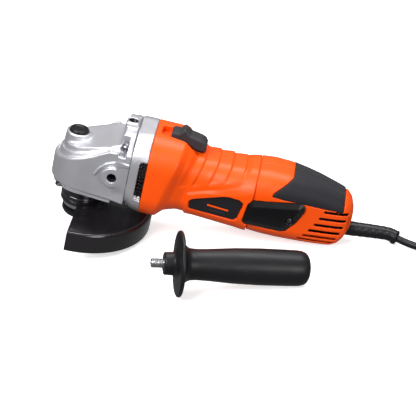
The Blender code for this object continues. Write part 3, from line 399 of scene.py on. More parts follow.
def sweep(name, points, radii, sides=28, place=None, sharp=40):
    """A closed tube along points, whose radius is given at each; a repeated point makes a step."""
    rows, verts = [], []
    tangents = []
    for k, p in enumerate(points):
        ahead = next((q for q in points[k + 1:] if (q - p).length > 1e-9), None)
        behind = next((q for q in points[:k][::-1] if (q - p).length > 1e-9), None)
        way = (ahead or p) - (behind or p)
        tangents.append(way.normalized())
    side = tangents[0].orthogonal().normalized()
    for p, way, r in zip(points, tangents, radii):
        side = (side - way * side.dot(way)).normalized()
        other = way.cross(side)
        rows.append(range(len(verts), len(verts) + sides))
        for k in range(sides):
            a = 2 * math.pi * k / sides
            verts.append(p + r * (side * math.cos(a) + other * math.sin(a)))
    faces = [rows[0][::-1], rows[-1]]
    for low, high in zip(rows, rows[1:]):
        for k in range(sides):
            n = (k + 1) % sides
            faces.append((low[k], low[n], high[n], high[k]))
    return mesh_piece(name, verts, faces, Matrix.Identity(4) if place is None else place,
                      sharp=sharp)


# ---------------------------------------------------------------- distance fields

def union(a, b, radius=0.0):
    """The nearer of two solids, with a fillet of about that radius where they meet."""
    if radius <= 0:
        return np.minimum(a, b)
    share = np.clip(0.5 + 0.5 * (b - a) / radius, 0.0, 1.0)
    return b * (1 - share) + a * share - radius * share * (1 - share)


def common(a, b, radius=0.0):
    return -union(-a, -b, radius)


def without(a, b, radius=0.0):
    return -union(-a, b, radius)


def ramp(value, low, high):
    """0 below low, 1 above high and smooth between."""
    t = np.clip((value - low) / (high - low), 0.0, 1.0)
    return t * t * (3 - 2 * t)


def box_field(x, y, z, low, high, radius=0.0):
    gaps = []
    for value, a, b in zip((x, y, z), low, high):
        gaps.append(np.abs(value - (a + b) / 2) - (b - a) / 2 + radius)
    outside = np.sqrt(sum(np.maximum(g, 0.0) ** 2 for g in gaps))
    inside = np.minimum(np.maximum(np.maximum(gaps[0], gaps[1]), gaps[2]), 0.0)
    return outside + inside - radius


def corner_field(a, b, radius):
    """A rounded corner, from the distances a and b past the middles of its two roundings."""
    return np.hypot(np.maximum(a, 0), np.maximum(b, 0)) + np.minimum(np.maximum(a, b), 0) - radius


def rod_field(across, other, along, radius, low, high, edge=0.0):
    """A cylinder: across and other are measured from its axis, along runs down it."""
    a = np.hypot(across, other) - radius + edge
    b = np.abs(along - (low + high) / 2) - (high - low) / 2 + edge
    return corner_field(a, b, edge)


def carved(body, *cuts, radius=0.0):
    """The solid with each of the others taken away in turn."""
    for cut in cuts:
        body = without(body, cut, radius)
    return body


def outline_field(u, v, outline):
    """Distance to a closed outline of (u, v) points, negative inside it."""
    nearest = None
    sign = 1.0
    for (ax, ay), (bx, by) in zip(outline, outline[1:] + outline[:1]):
        ex, ey = bx - ax, by - ay
        wx, wy = u - ax, v - ay
        t = np.clip((wx * ex + wy * ey) / (ex * ex + ey * ey), 0.0, 1.0)
        d = (wx - ex * t) ** 2 + (wy - ey * t) ** 2
        nearest = d if nearest is None else np.minimum(nearest, d)
        above, below, left = v >= ay, v < by, ex * wy > ey * wx
        flip = (above & below & left) | (~above & ~below & ~left)
        sign = np.where(flip, -sign, sign)
    return sign * np.sqrt(nearest)


class Sections:
    """Rounded rectangles along X, read smoothly from (x, half width, top, bottom, radius) rows."""

    def __init__(self, rows, blend=5.0):
        self.x = np.arange(rows[0][0] - 6, rows[-1][0] + 6, 0.25)
        window = np.hanning(max(3, int(blend / 0.25)) | 1)
        window /= window.sum()
        self.columns = []
        for column in range(1, 5):
            line = np.interp(self.x, [r[0] for r in rows], [r[column] for r in rows])
            padded = np.pad(line, len(window) // 2, mode="edge")
            self.columns.append(np.convolve(padded, window, mode="valid"))

    def at(self, x):
        return [np.interp(x, self.x, column) for column in self.columns]

    def field(self, x, y, z):
        half, top, bottom, radius = self.at(x)
        a = np.abs(y) - half + radius
        b = np.abs(z - (top + bottom) / 2) - (top - bottom) / 2 + radius
        return corner_field(a, b, radius)


CORNERS = [(i, j, k) for i in (0, 1) for j in (0, 1) for k in (0, 1)]
CELL_EDGES = [(a, b) for a in CORNERS for b in CORNERS
              if a < b and sum(abs(p - q) for p, q in zip(a, b)) == 1]


def grid_field(field, axes):
    values = np.empty([len(a) for a in axes], np.float32)
    y = axes[1][None, :, None]
    z = axes[2][None, None, :]
    for start in range(0, len(axes[0]), 32):
        x = axes[0][start:start + 32, None, None]
        values[start:start + 32] = field(x, y, z)
    return values


def refined(points, field, limit):
    """Move points onto the zero surface along the field's slope, which is read over 2 * e."""
    e = 0.02
    for _ in range(3):
        x, y, z = points.T
        here = field(x, y, z)
        slope = np.stack([(field(x + e, y, z) - field(x - e, y, z)),
                          (field(x, y + e, z) - field(x, y - e, z)),
                          (field(x, y, z + e) - field(x, y, z - e))], 1) / (2 * e)
        size = np.maximum((slope ** 2).sum(1), 0.04)
        move = -slope * (here / size)[:, None]
        length = np.maximum(np.linalg.norm(move, axis=1), 1e-9)
        points = points + move * np.minimum(1.0, limit / length)[:, None]
    return points


def surface_net(name, field, low, high, step=None, sharp=None):
    """Mesh the zero surface of field(x, y, z) between two corners: one point in each cell that
    the surface crosses, and one quad round each grid edge that it cuts."""
    step = step or VOXEL
    axes = [np.arange(a - 2.5 * step, b + 2.5 * step, step) for a, b in zip(low, high)]
    values = grid_field(field, axes)
    inside = values < 0
    cells = [n - 1 for n in inside.shape]
    count = np.zeros(cells, np.uint8)
    for i, j, k in CORNERS:
        count += inside[i:i + cells[0], j:j + cells[1], k:k + cells[2]]
    active = np.argwhere((count > 0) & (count < 8))
    number = np.full(cells, -1, np.int64)
    number[tuple(active.T)] = np.arange(len(active))
    total = np.zeros((len(active), 3))
    cuts = np.zeros(len(active))
    for a, b in CELL_EDGES:
        va = values[tuple((active + a).T)]
        vb = values[tuple((active + b).T)]
        crossed = (va < 0) != (vb < 0)
        t = np.where(crossed, va / np.where(crossed, va - vb, 1.0), 0.0)
        total += crossed[:, None] * (np.array(a) + t[:, None] * (np.array(b) - np.array(a)))
        cuts += crossed
    points = (active + total / cuts[:, None]) * step + np.array([a[0] for a in axes])
    faces = []
    for axis in range(3):
        u, v = np.eye(3, dtype=int)[[(axis + 1) % 3, (axis + 2) % 3]]
        near = np.take(inside, range(cells[axis]), axis)
        far = np.take(inside, range(1, cells[axis] + 1), axis)
        edges = np.argwhere(near != far)
        quads = np.stack([number[tuple((edges - shift).T)] for shift in (u + v, v, 0 * u, u)], 1)
        outward = near[tuple(edges.T)]
        quads[~outward] = quads[~outward][:, ::-1]
        faces.append(quads)
    points = refined(points, field, 0.5 * step)
    return mesh_piece(name, points.tolist(), np.concatenate(faces).tolist(), sharp=sharp)


def moulded(name, field, low, high, look, cad=(), step=None, body="tool"):
    """A finished piece in the shape of a field, which stands for the CAD nodes named in cad."""
    return settle(surface_net(name, field, low, high, step), look, body, cad)


# ---------------------------------------------------------------- gear head

WALL_TOP = [(-28, -4.0), (-16, 2.0), (0, 8.5), (8, 13.0), (14, 17.0), (20, 20.5), (38, 22.0)]
HEAD_WIDTH = [(0.0, 28.0), (13.0, 29.4), (26.0, 30.8), (37.8, 33.6)]
HEAD_BACK = 37.8
HEAD_BOTTOM = -24.0
TOP_HEIGHT = 14.3              # of the head's top plate over the spindle axis
TOP_SLOPE = 0.33
GROOVE_DEPTH = 0.9
FLANGE_MIDDLE = (32.6, 5.35)   # (x, z) of the square flange at the back of the head
FLANGE_HALF = (33.8, 29.05)    # half its width and height
FLANGE_CORNER = 20.0
TOP_BOSS = ((26.0, -6.6, 28.0), (37.5, 6.6, 38.2))
SCREW_POCKET = ((27.2, 19.8, 19.4), (33.2, 34.0, 44.0))
LOCK_X = -11.0
LOCK_BOSS_TOP = 17.3
SIDE_HOLE = (25.0, -1.5)
TOP_HOLE_X = 31.6
BOSS_FACE = 33.4
SOCKET_RADIUS = 4.0
CORNER = 24.7
CORNERS_YZ = [(y, z) for z in (CORNER, -CORNER) for y in (-CORNER, CORNER)]
SCREW_HOLE = 2.5
SCREW_END = 61.5               # x of the tips of the head screws
PANEL_RISE = 0.2
PANEL_FRONT = 11.0
ARCH_RISE = 1.5
ARCH_RADIUS = 1.0
SIDE_ARCH = [(10.5, -3.0), (13.5, 3.0), (18.0, 8.0), (24.0, 11.4), (31.0, 13.0), (40.0, 13.6)]


def read_table(table, x):
    return np.interp(x, [row[0] for row in table], [row[1] for row in table])


def head_plan(x, y):
    """Distance outside the head's plan: a round nose, and sides that widen to the flange."""
    reach = np.where(x < 0, np.hypot(x, y), np.abs(y))
    return reach - read_table(HEAD_WIDTH, x)


def bead(a, b, line):
    """Distance to a line of points in one plane."""
    nearest = 1e9
    for (ax, ay), (bx, by) in zip(line, line[1:]):
        ex, ey = bx - ax, by - ay
        t = np.clip(((a - ax) * ex + (b - ay) * ey) / (ex * ex + ey * ey), 0.0, 1.0)
        nearest = np.minimum(nearest, np.hypot(a - ax - ex * t, b - ay - ey * t))
    return nearest


def side_rod(x, y, z, hand, radius, low, high, edge=0.0):
    """A cylinder on the axis of a side boss: hand is -1 on the left and 1 on the right."""
    return rod_field(x - SIDE_HOLE[0], z - SIDE_HOLE[1], hand * y, radius, low, high, edge)


def lock_rod(x, y, z, radius, low, high, edge=0.0):
    """A cylinder on the axis of the lock button."""
    return rod_field(x - LOCK_X, y, z, radius, low, high, edge)


def corner_rod(x, y, z, corner, radius, low, high, edge=0.0):
    """A cylinder along X on the axis of one of the four head screws."""
    return rod_field(y - corner[0], z - corner[1], x, radius, low, high, edge)


def head_height(wall, x, inset):
    """Top of the head, from the side wall's ledge over a groove and a shoulder to the plate."""
    top = TOP_HEIGHT + TOP_SLOPE * x
    shoulder = 0.45 * wall + 0.55 * top - 0.4
    return (wall - GROOVE_DEPTH * ramp(inset, 1.8, 3.0)
            + (shoulder - wall + 1.1) * ramp(inset, 3.0, 5.0)
            - GROOVE_DEPTH * ramp(inset, 5.6, 6.4)
            + (top - shoulder + 0.7) * ramp(inset, 6.4, 7.6))


def head_skin(x, y, z):
    """Outside of the cast head with its arched side panel, flange and bosses."""
    plan = head_plan(x, y)
    wall = read_table(WALL_TOP, x)
    body = common(plan, 0.72 * (z - head_height(wall, x, -plan)), 1.6)
    arch = bead(x, z, SIDE_ARCH)
    below = z - read_table(SIDE_ARCH, x)
    side = common(plan - PANEL_RISE, common(below, PANEL_FRONT - x, 0.8), 0.9)
    body = union(body, common(side, z - wall + 2.0, 0.8), 0.5)
    body = union(body, common(plan - ARCH_RISE, arch - ARCH_RADIUS, 0.7), 0.7)
    flange = corner_field(np.abs(y) - FLANGE_HALF[0] + FLANGE_CORNER,
                          np.abs(z - FLANGE_MIDDLE[1]) - FLANGE_HALF[1] + FLANGE_CORNER,
                          FLANGE_CORNER)
    flange = common(flange, np.abs(x - FLANGE_MIDDLE[0]) - 5.2, 1.6)
    body = union(body, flange, 3.0)
    body = common(body, HEAD_BOTTOM - z, 2.2)
    body = common(body, x - HEAD_BACK, 0.8)
    body = union(body, box_field(x, y, z, *TOP_BOSS, 2.4), 1.6)
    return union(body, lock_rod(x, y, z, 10.9 - 0.07 * (z - 8.0), 2.0, LOCK_BOSS_TOP, 1.3), 2.6)


def head_field(x, y, z):
    body = head_skin(x, y, z)
    for hand in (-1, 1):
        body = union(body, side_rod(x, y, z, hand, 8.9, 18.0, BOSS_FACE, 0.7), 0.5)
        body = without(body, side_rod(x, y, z, hand, SOCKET_RADIUS, 20.0, 40.0), 0.7)
        pocket = union(box_field(x, hand * y, z, *SCREW_POCKET, 1.2),
                       corner_rod(x, hand * y, z, (CORNER, CORNER), 5.4, 20.0, 33.2, 0.6), 0.8)
        body = without(body, pocket, 0.8)
    body = without(body, rod_field(x - TOP_HOLE_X, y, z, SOCKET_RADIUS, 24.0, 50.0), 0.8)
    body = without(body, lock_rod(x, y, z, 8.4, 11.0, 30.0), 0.5)
    # inside: the gear chamber, the motor's two bores, the spindle's bush, and the lock's bores
    body = carved(body, rod_field(x, y, z, 21.6, -40.0, -2.4, 0.6),
                  rod_field(y, z, x, 9.4, 6.0, 28.0, 0.6), rod_field(y, z, x, 15.5, 26.6, 44.0, 0.4),
                  rod_field(x, y, z, 6.3, -4.0, 10.6), lock_rod(x, y, z, 5.2, 3.6, 20.0),
                  lock_rod(x, y, z, 2.7, -4.0, 6.0))
    return carved(body, *[corner_rod(x, hand * y, z, (CORNER, CORNER), SCREW_HOLE, 30.0, 44.0)
                          for hand in (-1, 1)])


COVER_MIDDLE_Z = -26.15
NECK_RADIUS = 14.3
SCREW_CIRCLE = 24.8            # radius of the circle that the bearing cover's screws stand on
REACH = SCREW_CIRCLE * math.cos(math.radians(45))
COVER_SCREWS = [(x, y) for x in (-REACH, REACH) for y in (-REACH, REACH)]


def cover_field(x, y, z):
    """Aluminium cover under the gears, with the neck that carries the guard."""
    slab = common(x - 27.0, np.abs(z - COVER_MIDDLE_Z) - 1.85, 0.6)
    body = common(head_plan(x, y) + 2.2, slab, 1.0)
    body = union(body, rod_field(x, y, z, NECK_RADIUS, -45.2, -26.0, 0.5), 1.5)
    body = union(body, rod_field(x, y, z, 19.6, -27.0, -14.2, 0.3), 0.5)
    body = without(body, rod_field(x, y, z, 9.2, -50.0, -20.0), 0.4)
    body = without(body, rod_field(x, y, z, 16.3, -25.1, -5.0))
    return carved(body, *[rod_field(x - px, y - py, z, 4.3, -34.0, -26.0)
                          for px, py in COVER_SCREWS], radius=0.3)


PLATE = Sections([(38.1, 34.4, 35.2, -29.0, 21.0), (44.0, 34.8, 35.8, -33.6, 22.5),
                  (51.6, 35.0, 36.2, -35.8, 24.0)], 2.0)
PLATE_MIDDLE_X = 44.85
EXHAUST_WINDOW = ((45.4, 26.0, -16.0), (60.0, 44.0, 19.5))


def plate_field(x, y, z):
    """Aluminium ring behind the head, with an exhaust window in each side."""
    body = common(PLATE.field(x, y, z), np.abs(x - PLATE_MIDDLE_X) - 6.75, 0.8)
    r = np.hypot(y, z)
    body = without(body, common(common(r - 30.4, 17.2 - r, 0.5), 43.0 - x, 0.5))
    body = carved(body, rod_field(y, z, x, 13.4, 41.4, 60.0), rod_field(y, z, x, 10.4, 30.0, 60.0))
    for hand in (-1, 1):
        body = without(body, box_field(x, hand * y, z, *EXHAUST_WINDOW, 3.0), 0.6)
        body = union(body, rod_field(hand * y - 29.4, z + 15.4, x, 3.0, 43.0, 51.2, 0.5), 0.4)
    for corner in CORNERS_YZ:
        body = without(body, corner_rod(x, y, z, corner, SCREW_HOLE, 30.0, 60.0))
        if corner[1] < 0:
            body = without(body, corner_rod(x, y, z, corner, 4.7, 30.0, 42.2), 0.4)
    return body


def slotted(piece, place, width, reach, floor, high):
    """Cut a cross slot into a screw head that faces +Z in its own frame."""
    for turn in (0, 90):
        cutter = box_piece("slot", (-width / 2, -reach / 2, floor), (width / 2, reach / 2, high),
                           place @ Matrix.Rotation(math.radians(turn), 4, "Z"))
        apply_boolean(piece, cutter)
    piece.data.set_sharp_from_angle(angle=math.radians(30))


def pan_screw(name, place, head, shank, length, height, look="zinc_screw", body="tool"):
    """A pan head screw: its head stands on Z = 0 and its shank runs down from there."""
    crown = [(0, height), (head * 0.55, height - 0.05 * head), (head * 0.86, height - 0.28 * height),
             (head, height * 0.35), (head, 0.0), (shank, 0.0), (shank, -length), (0, -length)]
    screw = lathe(name, rounded(crown, 0.4), place, 48)
    slotted(screw, place, head * 0.26, head * 1.15, height * 0.45, height + 1)
    return settle(screw, look, body, (name,))


def make_head():
    moulded("gear_housing_cast", head_field, (-28.5, -34.5, -24.5), (38, 34.5, 39), "aluminium",
            ("gear_housing",))
    moulded("bearing_cover_cast", cover_field, (-27, -31, -46), (28, 31, -14), "aluminium",
            ("bearing_cover",))
    moulded("flange_plate_cast", plate_field, (38, -35.5, -36.5), (52, 35.5, 36.8), "aluminium",
            ("flange_plate",))
    for number, (y, z) in enumerate(CORNERS_YZ, start=1):
        seat, height = (32.9, 5.0) if z > 0 else (41.9, 3.4)
        pan_screw(f"head_screw_{number}", spot(seat, y, z, -90, "Y"), 4.1, 2.0, SCREW_END - seat,
                  height)
    for number, (x, y) in enumerate(COVER_SCREWS, start=1):
        pan_screw(f"cover_screw_{number}", spot(x, y, -26.2, 180, "X"), 3.8, 1.8, 16.0, 2.4)
    for hand, side in ((-1, "left"), (1, "right")):
        make_grille(side, hand)
        make_socket(side, spot(SIDE_HOLE[0], 32.6 * hand, SIDE_HOLE[1], -90 * hand, "X"))
    make_socket("top", spot(TOP_HOLE_X, 0, 37.6))
    cap = [(0, 18.6), (4.9, 18.6), (5.6, 18.9), (6.2, 19.5), (7.0, 19.4), (7.75, 18.7), (8.0, 17.8),
           (8.0, 15.6), (2.6, 15.6), (2.6, 17.0), (0, 17.0)]
    turned("lock_button_cap", rounded(cap, 0.4), "black_plastic", "spindle_lock",
           ("lock_button",), spot(LOCK_X, 0, 0))


def make_socket(side, place):
    """Dark threaded sleeve in a handle boss, with its mouth at the origin of place."""
    turns = [(3.3 if k % 2 else 3.75, -0.625 * k) for k in range(1, 17)]
    wall = [(3.98, 0.0), (3.75, 0.0), *turns, (3.0, -11.4), (0.0, -11.4), (0.0, -12.0), (3.98, -12.0)]
    turned(f"handle_socket_{side}", wall, "black_oxide", "tool", (), place, 48)


def make_grille(side, hand):
    """Dark bars inside the exhaust window, in front of the fan."""
    def field(x, y, z):
        bars = 1e9
        for k in range(10):
            bars = np.minimum(bars, np.abs(z + 12.2 - 3.5 * k) - 0.55)
        posts = np.minimum(np.abs(x - 48.0) - 0.5, np.abs(x - 51.0) - 0.5)
        grid = common(union(bars, posts, 0.3), np.abs(hand * y - 31.6) - 0.8, 0.3)
        return common(grid, box_field(x, y, z, (45.0, -40, -14.2), (51.5, 40, 19.2), 1.0), 0.2)
    low, high = sorted((hand * 30.5, hand * 32.7))
    moulded(f"exhaust_grille_{side}", field, (44.8, low, -14.6), (51.7, high, 19.6),
            "black_plastic", step=0.35)


# ---------------------------------------------------------------- guard and disc fixings

GUARD_RADIUS = 62.5
GUARD_RIM = -61.5
PLATE_TOP = -44.0
CLAMP_SCREW = (-9.1, 19.4, -37.3)
NUT_HOLE_CIRCLE = 10.2


def box_piece(name, low, high, place=None):
    bm = bmesh.new()
    bmesh.ops.create_cube(bm, size=1.0)
    centre = [(a + b) / 2 for a, b in zip(low, high)]
    bmesh.ops.scale(bm, vec=[b - a for a, b in zip(low, high)], verts=bm.verts)
    bmesh.ops.translate(bm, vec=centre, verts=bm.verts)
    mesh = bpy.data.meshes.new(name)
    bm.to_mesh(mesh)
    bm.free()
    made = linked(name, mesh)
    made.matrix_world = TOOL if place is None else place
    return made


def make_guard():
    sheet = 1.6
    bore = 14.6
    neck_top = -31.0
    r = GUARD_RADIUS
    profile = [(15.6, neck_top), (15.6, PLATE_TOP + 0.9), (24.0, PLATE_TOP + 0.9),
               (25.6, PLATE_TOP), (r - 3.4, PLATE_TOP), (r - 2.6, PLATE_TOP + 0.5),
               (r - 1.2, PLATE_TOP + 0.5), (r, PLATE_TOP - 1.0), (r, GUARD_RIM + 1.0),
               (r - 1.0, GUARD_RIM), (r - 3.2, GUARD_RIM), (r - 3.2, GUARD_RIM + sheet),
               (r - sheet, GUARD_RIM + sheet), (r - sheet, PLATE_TOP - sheet),
               (bore, PLATE_TOP - sheet), (bore, neck_top)]
    guard = lathe("disc_guard", rounded(profile, 1.0, 3), TOOL, 192)
    cutter = lathe("cutter", [(80.0, -40.0), (80.0, -70.0), (16.8, -70.0), (16.8, -40.0)], TOOL, 96)
    apply_boolean(cutter, box_piece("cutter_back", (0.0, -90, -80), (90, 90, -30)))
    apply_boolean(guard, cutter)
    guard.data.set_sharp_from_angle(angle=math.radians(32))
    settle(guard, "guard_paint", "guard", ("guard",))
    band = lathe("guard_clamp", rounded([(16.8, -33.0), (17.1, -33.8), (17.1, -36.2), (16.6, -36.8),
                                         (16.6, -37.8), (17.1, -38.4), (17.1, -40.8), (16.8, -41.6),
                                         (15.8, -41.6), (15.8, -33.0)], 0.3), TOOL, 128)
    ears = [box_piece(f"ear_{k}", (start, 16.5, -40.6), (start + 6.0, 22.0, -34.0))
            for k, start in enumerate((-9.0, 3.0))]
    apply_boolean(band, *ears, operation="UNION")
    band.data.set_sharp_from_angle(angle=math.radians(32))
    settle(band, "guard_paint", "guard", ("guard_clamp_band",))
    pan_screw("guard_clamp_screw", spot(*CLAMP_SCREW, -90, "Y"), 3.8, 2.0, 19.0, 2.9,
              body="guard")


def make_disc_fixings():
    seat = [(8.0, -46.0), (13.4, -46.0), (14.5, -47.0), (14.5, -50.0), (12.2, -50.0), (12.2, -49.6),
            (9.0, -49.6), (9.0, -50.0), (7.2, -50.0), (7.2, -46.4)]
    turned("disc_seat_flange", rounded(seat, 0.3), "steel", "spindle", ("inner_flange",))
    nut = [(14.2, -53.0), (14.2, -56.1), (13.2, -57.6), (12.6, -58.7), (8.0, -58.7), (7.2, -57.9),
           (7.2, -53.0)]
    lock_nut = lathe("disc_lock_nut", rounded(nut, 0.4), TOOL, 96)
    holes = []
    for k in range(4):
        a = math.pi / 4 + math.pi / 2 * k
        place = spot(NUT_HOLE_CIRCLE * math.cos(a), NUT_HOLE_CIRCLE * math.sin(a), 0)
        holes.append(lathe(f"hole_{k}", [(0, -55.7), (1.9, -55.7), (1.9, -61), (0, -61)], place, 32))
    apply_boolean(lock_nut, *holes)
    lock_nut.data.set_sharp_from_angle(angle=math.radians(30))
    settle(lock_nut, "black_oxide", "spindle", ("lock_nut",))
    rows = [(0, 9.6), (4.0, 9.6), (4.0, -4.0), (5.0, -4.0), (5.0, -13.5), (5.7, -13.5), (5.7, -24.4),
            (8.2, -24.4), (8.2, -45.6), (6.9, -45.6), (6.9, -50.4)]
    rows += [(6.9, -50.4 - 0.25 * k) for k in range(1, 37)]
    rows += [(6.2, -60.0), (4.0, -60.0), (3.4, -57.0), (0, -57.0)]
    turned("spindle_shaft", rows, "steel", "spindle", ("spindle",), TOOL, 64,
           thread(2.0, 0.7, -60.0, -50.6))


def thread(pitch, depth, low, high):
    """A change of radius that follows a screw thread between two heights."""
    def change(angle, radius, height):
        if not low < height < high:
            return 0.0
        turn = (height / pitch - angle / (2 * math.pi)) % 1.0
        fade = min(1.0, (height - low) / 0.8, (high - height) / 0.8)
        return -depth * fade * abs(2 * turn - 1)
    return change


# ---------------------------------------------------------------- body shells

HOUSING_SECTIONS = [
    (51.9, 35.0, 36.2, -36.0, 24.0), (64.0, 34.6, 35.8, -35.8, 23.5), (70.0, 29.6, 32.0, -30.2, 21.0),
    (79.0, 26.4, 26.6, -27.6, 18.5), (95.0, 26.0, 25.2, -27.5, 18.0),
    (130.0, 26.8, 24.9, -28.9, 18.0), (141.2, 27.4, 27.0, -29.8, 18.0)]
TAIL_SECTIONS = [
    (141.8, 27.4, 27.0, -29.8, 18.0), (153.0, 27.2, 28.4, -30.6, 18.0),
    (166.0, 25.8, 28.3, -31.0, 17.0), (180.0, 23.6, 26.6, -31.0, 15.5),
    (192.0, 21.4, 24.4, -30.8, 14.0), (204.0, 19.2, 21.6, -30.4, 13.0),
    (213.0, 17.4, 19.2, -29.6, 12.0), (218.5, 15.8, 16.6, -26.6, 11.0),
    (222.5, 13.6, 12.6, -20.6, 9.5), (225.2, 9.5, 5.5, -12.0, 7.5)]
HOUSING = Sections(HOUSING_SECTIONS, 4.0)
TAIL = Sections(TAIL_SECTIONS, 4.0)
WALL = 2.3
PARTING = 141.5                # the motor housing and the tail meet here
TAIL_FRONT = 141.8
SEAM = 0.15                    # half of the gap between the two tail covers
VENT_HALF = 1.25               # half the height of a vent
LABEL_OUTLINE = [(91.6, -15.6), (90.8, -9.0), (93.6, -6.4), (118.0, 2.4), (122.0, 3.3),
                 (131.0, 2.8), (134.2, 0.8), (134.4, -2.2), (131.8, -14.8), (129.0, -17.0)]
COVER_OUTLINE = [(141.2, 5.2), (181.0, 10.8), (184.6, 8.6), (185.4, 4.2), (179.8, -8.6),
                 (173.2, -17.0), (169.6, -18.4), (139.4, -17.4), (136.9, -15.0), (138.6, 1.2)]
CREASE = [(86.0, -3.0), (90.0, -1.0), (117.0, 9.0), (126.0, 13.0), (133.0, 17.2), (138.0, 20.4),
          (142.0, 23.0), (160.0, 30.0)]
RIB_PITCH = 11.4
RIB_START = 89.5
VENTS = [(5.6, 201.0, 221.5), (-1.0, 198.3, 220.9), (-7.4, 195.4, 219.9), (-13.4, 192.0, 218.6),
         (-18.8, 188.4, 216.6), (-23.4, 184.4, 214.2)]
COVER_SCREW = (174.6, -6.6)
CHANNEL = ((56.3, -8.2, 20.0), (84.0, 8.2, 60.0))      # room for the thumb piece to slide in
CHANNEL_FLOOR = 30.9
BOOT_Z = -14.2
GRIP_OUTLINE = [(165.0, 40.0), (168.0, 29.0), (170.3, 27.9), (170.3, 27.0), (167.6, 24.9),
                (163.2, 21.2), (158.0, 16.2), (156.3, 13.6), (156.8, 12.4), (216.0, 7.4),
                (216.4, 8.6), (213.4, 40.0)]


def lean(x):
    """Half width of the flat face that the brush covers stand on."""
    return 27.7 - 0.09 * (x - 137.0)


def cap_recess(x, y, z):
    """Room for a brush cap, which the motor housing and the tail give up."""
    return common(outline_field(x, z, COVER_OUTLINE) - 0.5, lean(x) - 1.3 - np.abs(y))


def cap_rod(x, z, along, radius, low, high):
    """A cylinder on the axis of the brush cap's screw."""
    return rod_field(x - COVER_SCREW[0], z - COVER_SCREW[1], along, radius, low, high)


def panel_rise(x, z):
    """Raised lower panel on each side of the motor housing, below a rising crease."""
    below = read_table(CREASE, x) - z
    facet = 1.6 + 8.0 * ramp(x, 97.0, 141.0)
    return 1.9 * np.clip(below / facet, 0.0, 1.0) * ramp(x, 86.6, 88.8)


def ribs(x, z):
    """Finger hollows over the top of the grip, which lean forward and end above the crease."""
    along = x - 0.30 * (z - 24.0) - RIB_START
    part = np.mod(along / RIB_PITCH + 0.5, 1.0)
    wave = np.minimum(part / 0.16, (1.0 - part) / 0.84)
    span = ramp(along, -RIB_PITCH * 0.5, 0.0) * ramp(-along, -4.0 * RIB_PITCH, -3.7 * RIB_PITCH)
    low = read_table(CREASE, x)
    return 1.3 * wave * span * ramp(z, low + 3.5, low + 8.0)


def housing_shape(x, y, z):
    """Outside of the motor housing, whose front collar reaches further back towards its top."""
    late = 1.5 + 0.20 * np.maximum(z + 26.0, 0.0)
    late = late * ramp(x, 52.0, 76.0) * ramp(-x, -122.0, -84.0) * ramp(np.abs(y), 7.0, 13.0)
    return HOUSING.field(x - late, y, z)


def housing_field(x, y, z):
    raw = housing_shape(x, y, z)
    skin = raw + ribs(x, z)
    side = ramp(np.abs(y), 12.0, 22.0)
    skin = skin - panel_rise(x, z) * side * ramp(z, -30.0, -26.0)
    shell = without(skin, raw + WALL + 0.9)
    shell = union(shell, box_field(x, y, z, (54.4, -10.0, 28.9), (73.0, 10.0, 34.6), 0.8), 0.4)
    shell = common(shell, np.abs(x - 96.55) - 44.65, 0.7)
    shell = union(shell, common(np.abs(raw + 1.7) - 0.7, np.abs(x - PARTING) - 1.6))
    channel = np.maximum(CHANNEL_FLOOR - z, box_field(x, y, z, *CHANNEL, 4.0))
    shell = without(shell, channel, 0.8)
    shell = without(shell, box_field(x, y, z, (77.0, -3.2, 16.0), (92.6, 3.2, 38.0), 0.5))
    for corner in CORNERS_YZ:
        shell = union(shell, corner_rod(x, y, z, corner, 4.2, 52.3, 64.0, 0.3))
        shell = without(shell, corner_rod(x, y, z, corner, 2.4, 40.0, 62.5))
    label = outline_field(x, z, LABEL_OUTLINE)
    shell = without(shell, common(label - 0.5, 26.4 - np.abs(y)), 0.5)
    return without(shell, cap_recess(x, y, z), 0.5)


def tail_shape(x, y, z):
    return common(TAIL.field(x, y, z), x - 225.4, 1.5)


def tail_field(hand):
    def field(x, y, z):
        raw = tail_shape(x, y, z)
        shell = without(raw, raw + WALL)
        shell = common(shell, common(TAIL_FRONT - x, SEAM - hand * y), 0.6)
        behind = common(np.abs(x - 202.0) - 21.0, np.abs(z + 9.0) - 17.5)
        shell = without(shell, common(raw + 1.1, behind, 0.3))
        for height, start, end in VENTS:
            past_end = np.abs(x - (start + end) / 2) - (end - start) / 2 + VENT_HALF
            slot = np.hypot(np.maximum(past_end, 0), z - height) - VENT_HALF
            shell = without(shell, common(slot, 1.0 - np.abs(y)), 0.35)
        shell = without(shell, rod_field(y, z - BOOT_Z, x, 6.8, 210, 240), 0.5)
        grip = outline_field(x, z, GRIP_OUTLINE)
        shell = without(shell, common(grip - 0.35, -(raw + 1.3)), 0.4)
        shell = without(shell, cap_recess(x, y, z), 0.5)
        return without(shell, cap_rod(x, z, hand * y, 1.8, 12, 40))
    return field


def grip_field(hand):
    def field(x, y, z):
        raw = tail_shape(x, y, z)
        sheet = common(raw - 0.35, -(raw + 1.0), 0.3)
        sheet = common(sheet, outline_field(x, z, GRIP_OUTLINE), 0.9)
        return common(sheet, 0.2 - hand * y, 0.7)
    return field


def brush_cover_field(hand):
    def field(x, y, z):
        plan = outline_field(x, z, COVER_OUTLINE)
        out = hand * y - lean(x)
        body = common(plan, np.abs(out - 0.8) - 1.8, 0.6)
        body = common(body, 0.89 * (0.50 * plan + out - 0.3), 0.3)
        body = without(body, cap_rod(x, z, out, 3.9, 0.1, 9.0), 0.3)
        return without(body, cap_rod(x, z, out, 1.8, -9.0, 9.0))
    return field


KNOB_PROFILE = [(64.3, 31.6), (64.3, 37.6), (66.0, 38.9), (71.0, 39.3), (74.0, 43.0), (75.6, 42.6),
                (80.0, 38.9), (89.6, 37.0), (93.0, 35.4), (94.8, 32.4), (94.8, 28.4),
                (93.6, 27.4), (89.0, 27.3), (85.3, 27.6), (82.0, 29.5), (79.0, 31.3), (76.0, 31.6)]


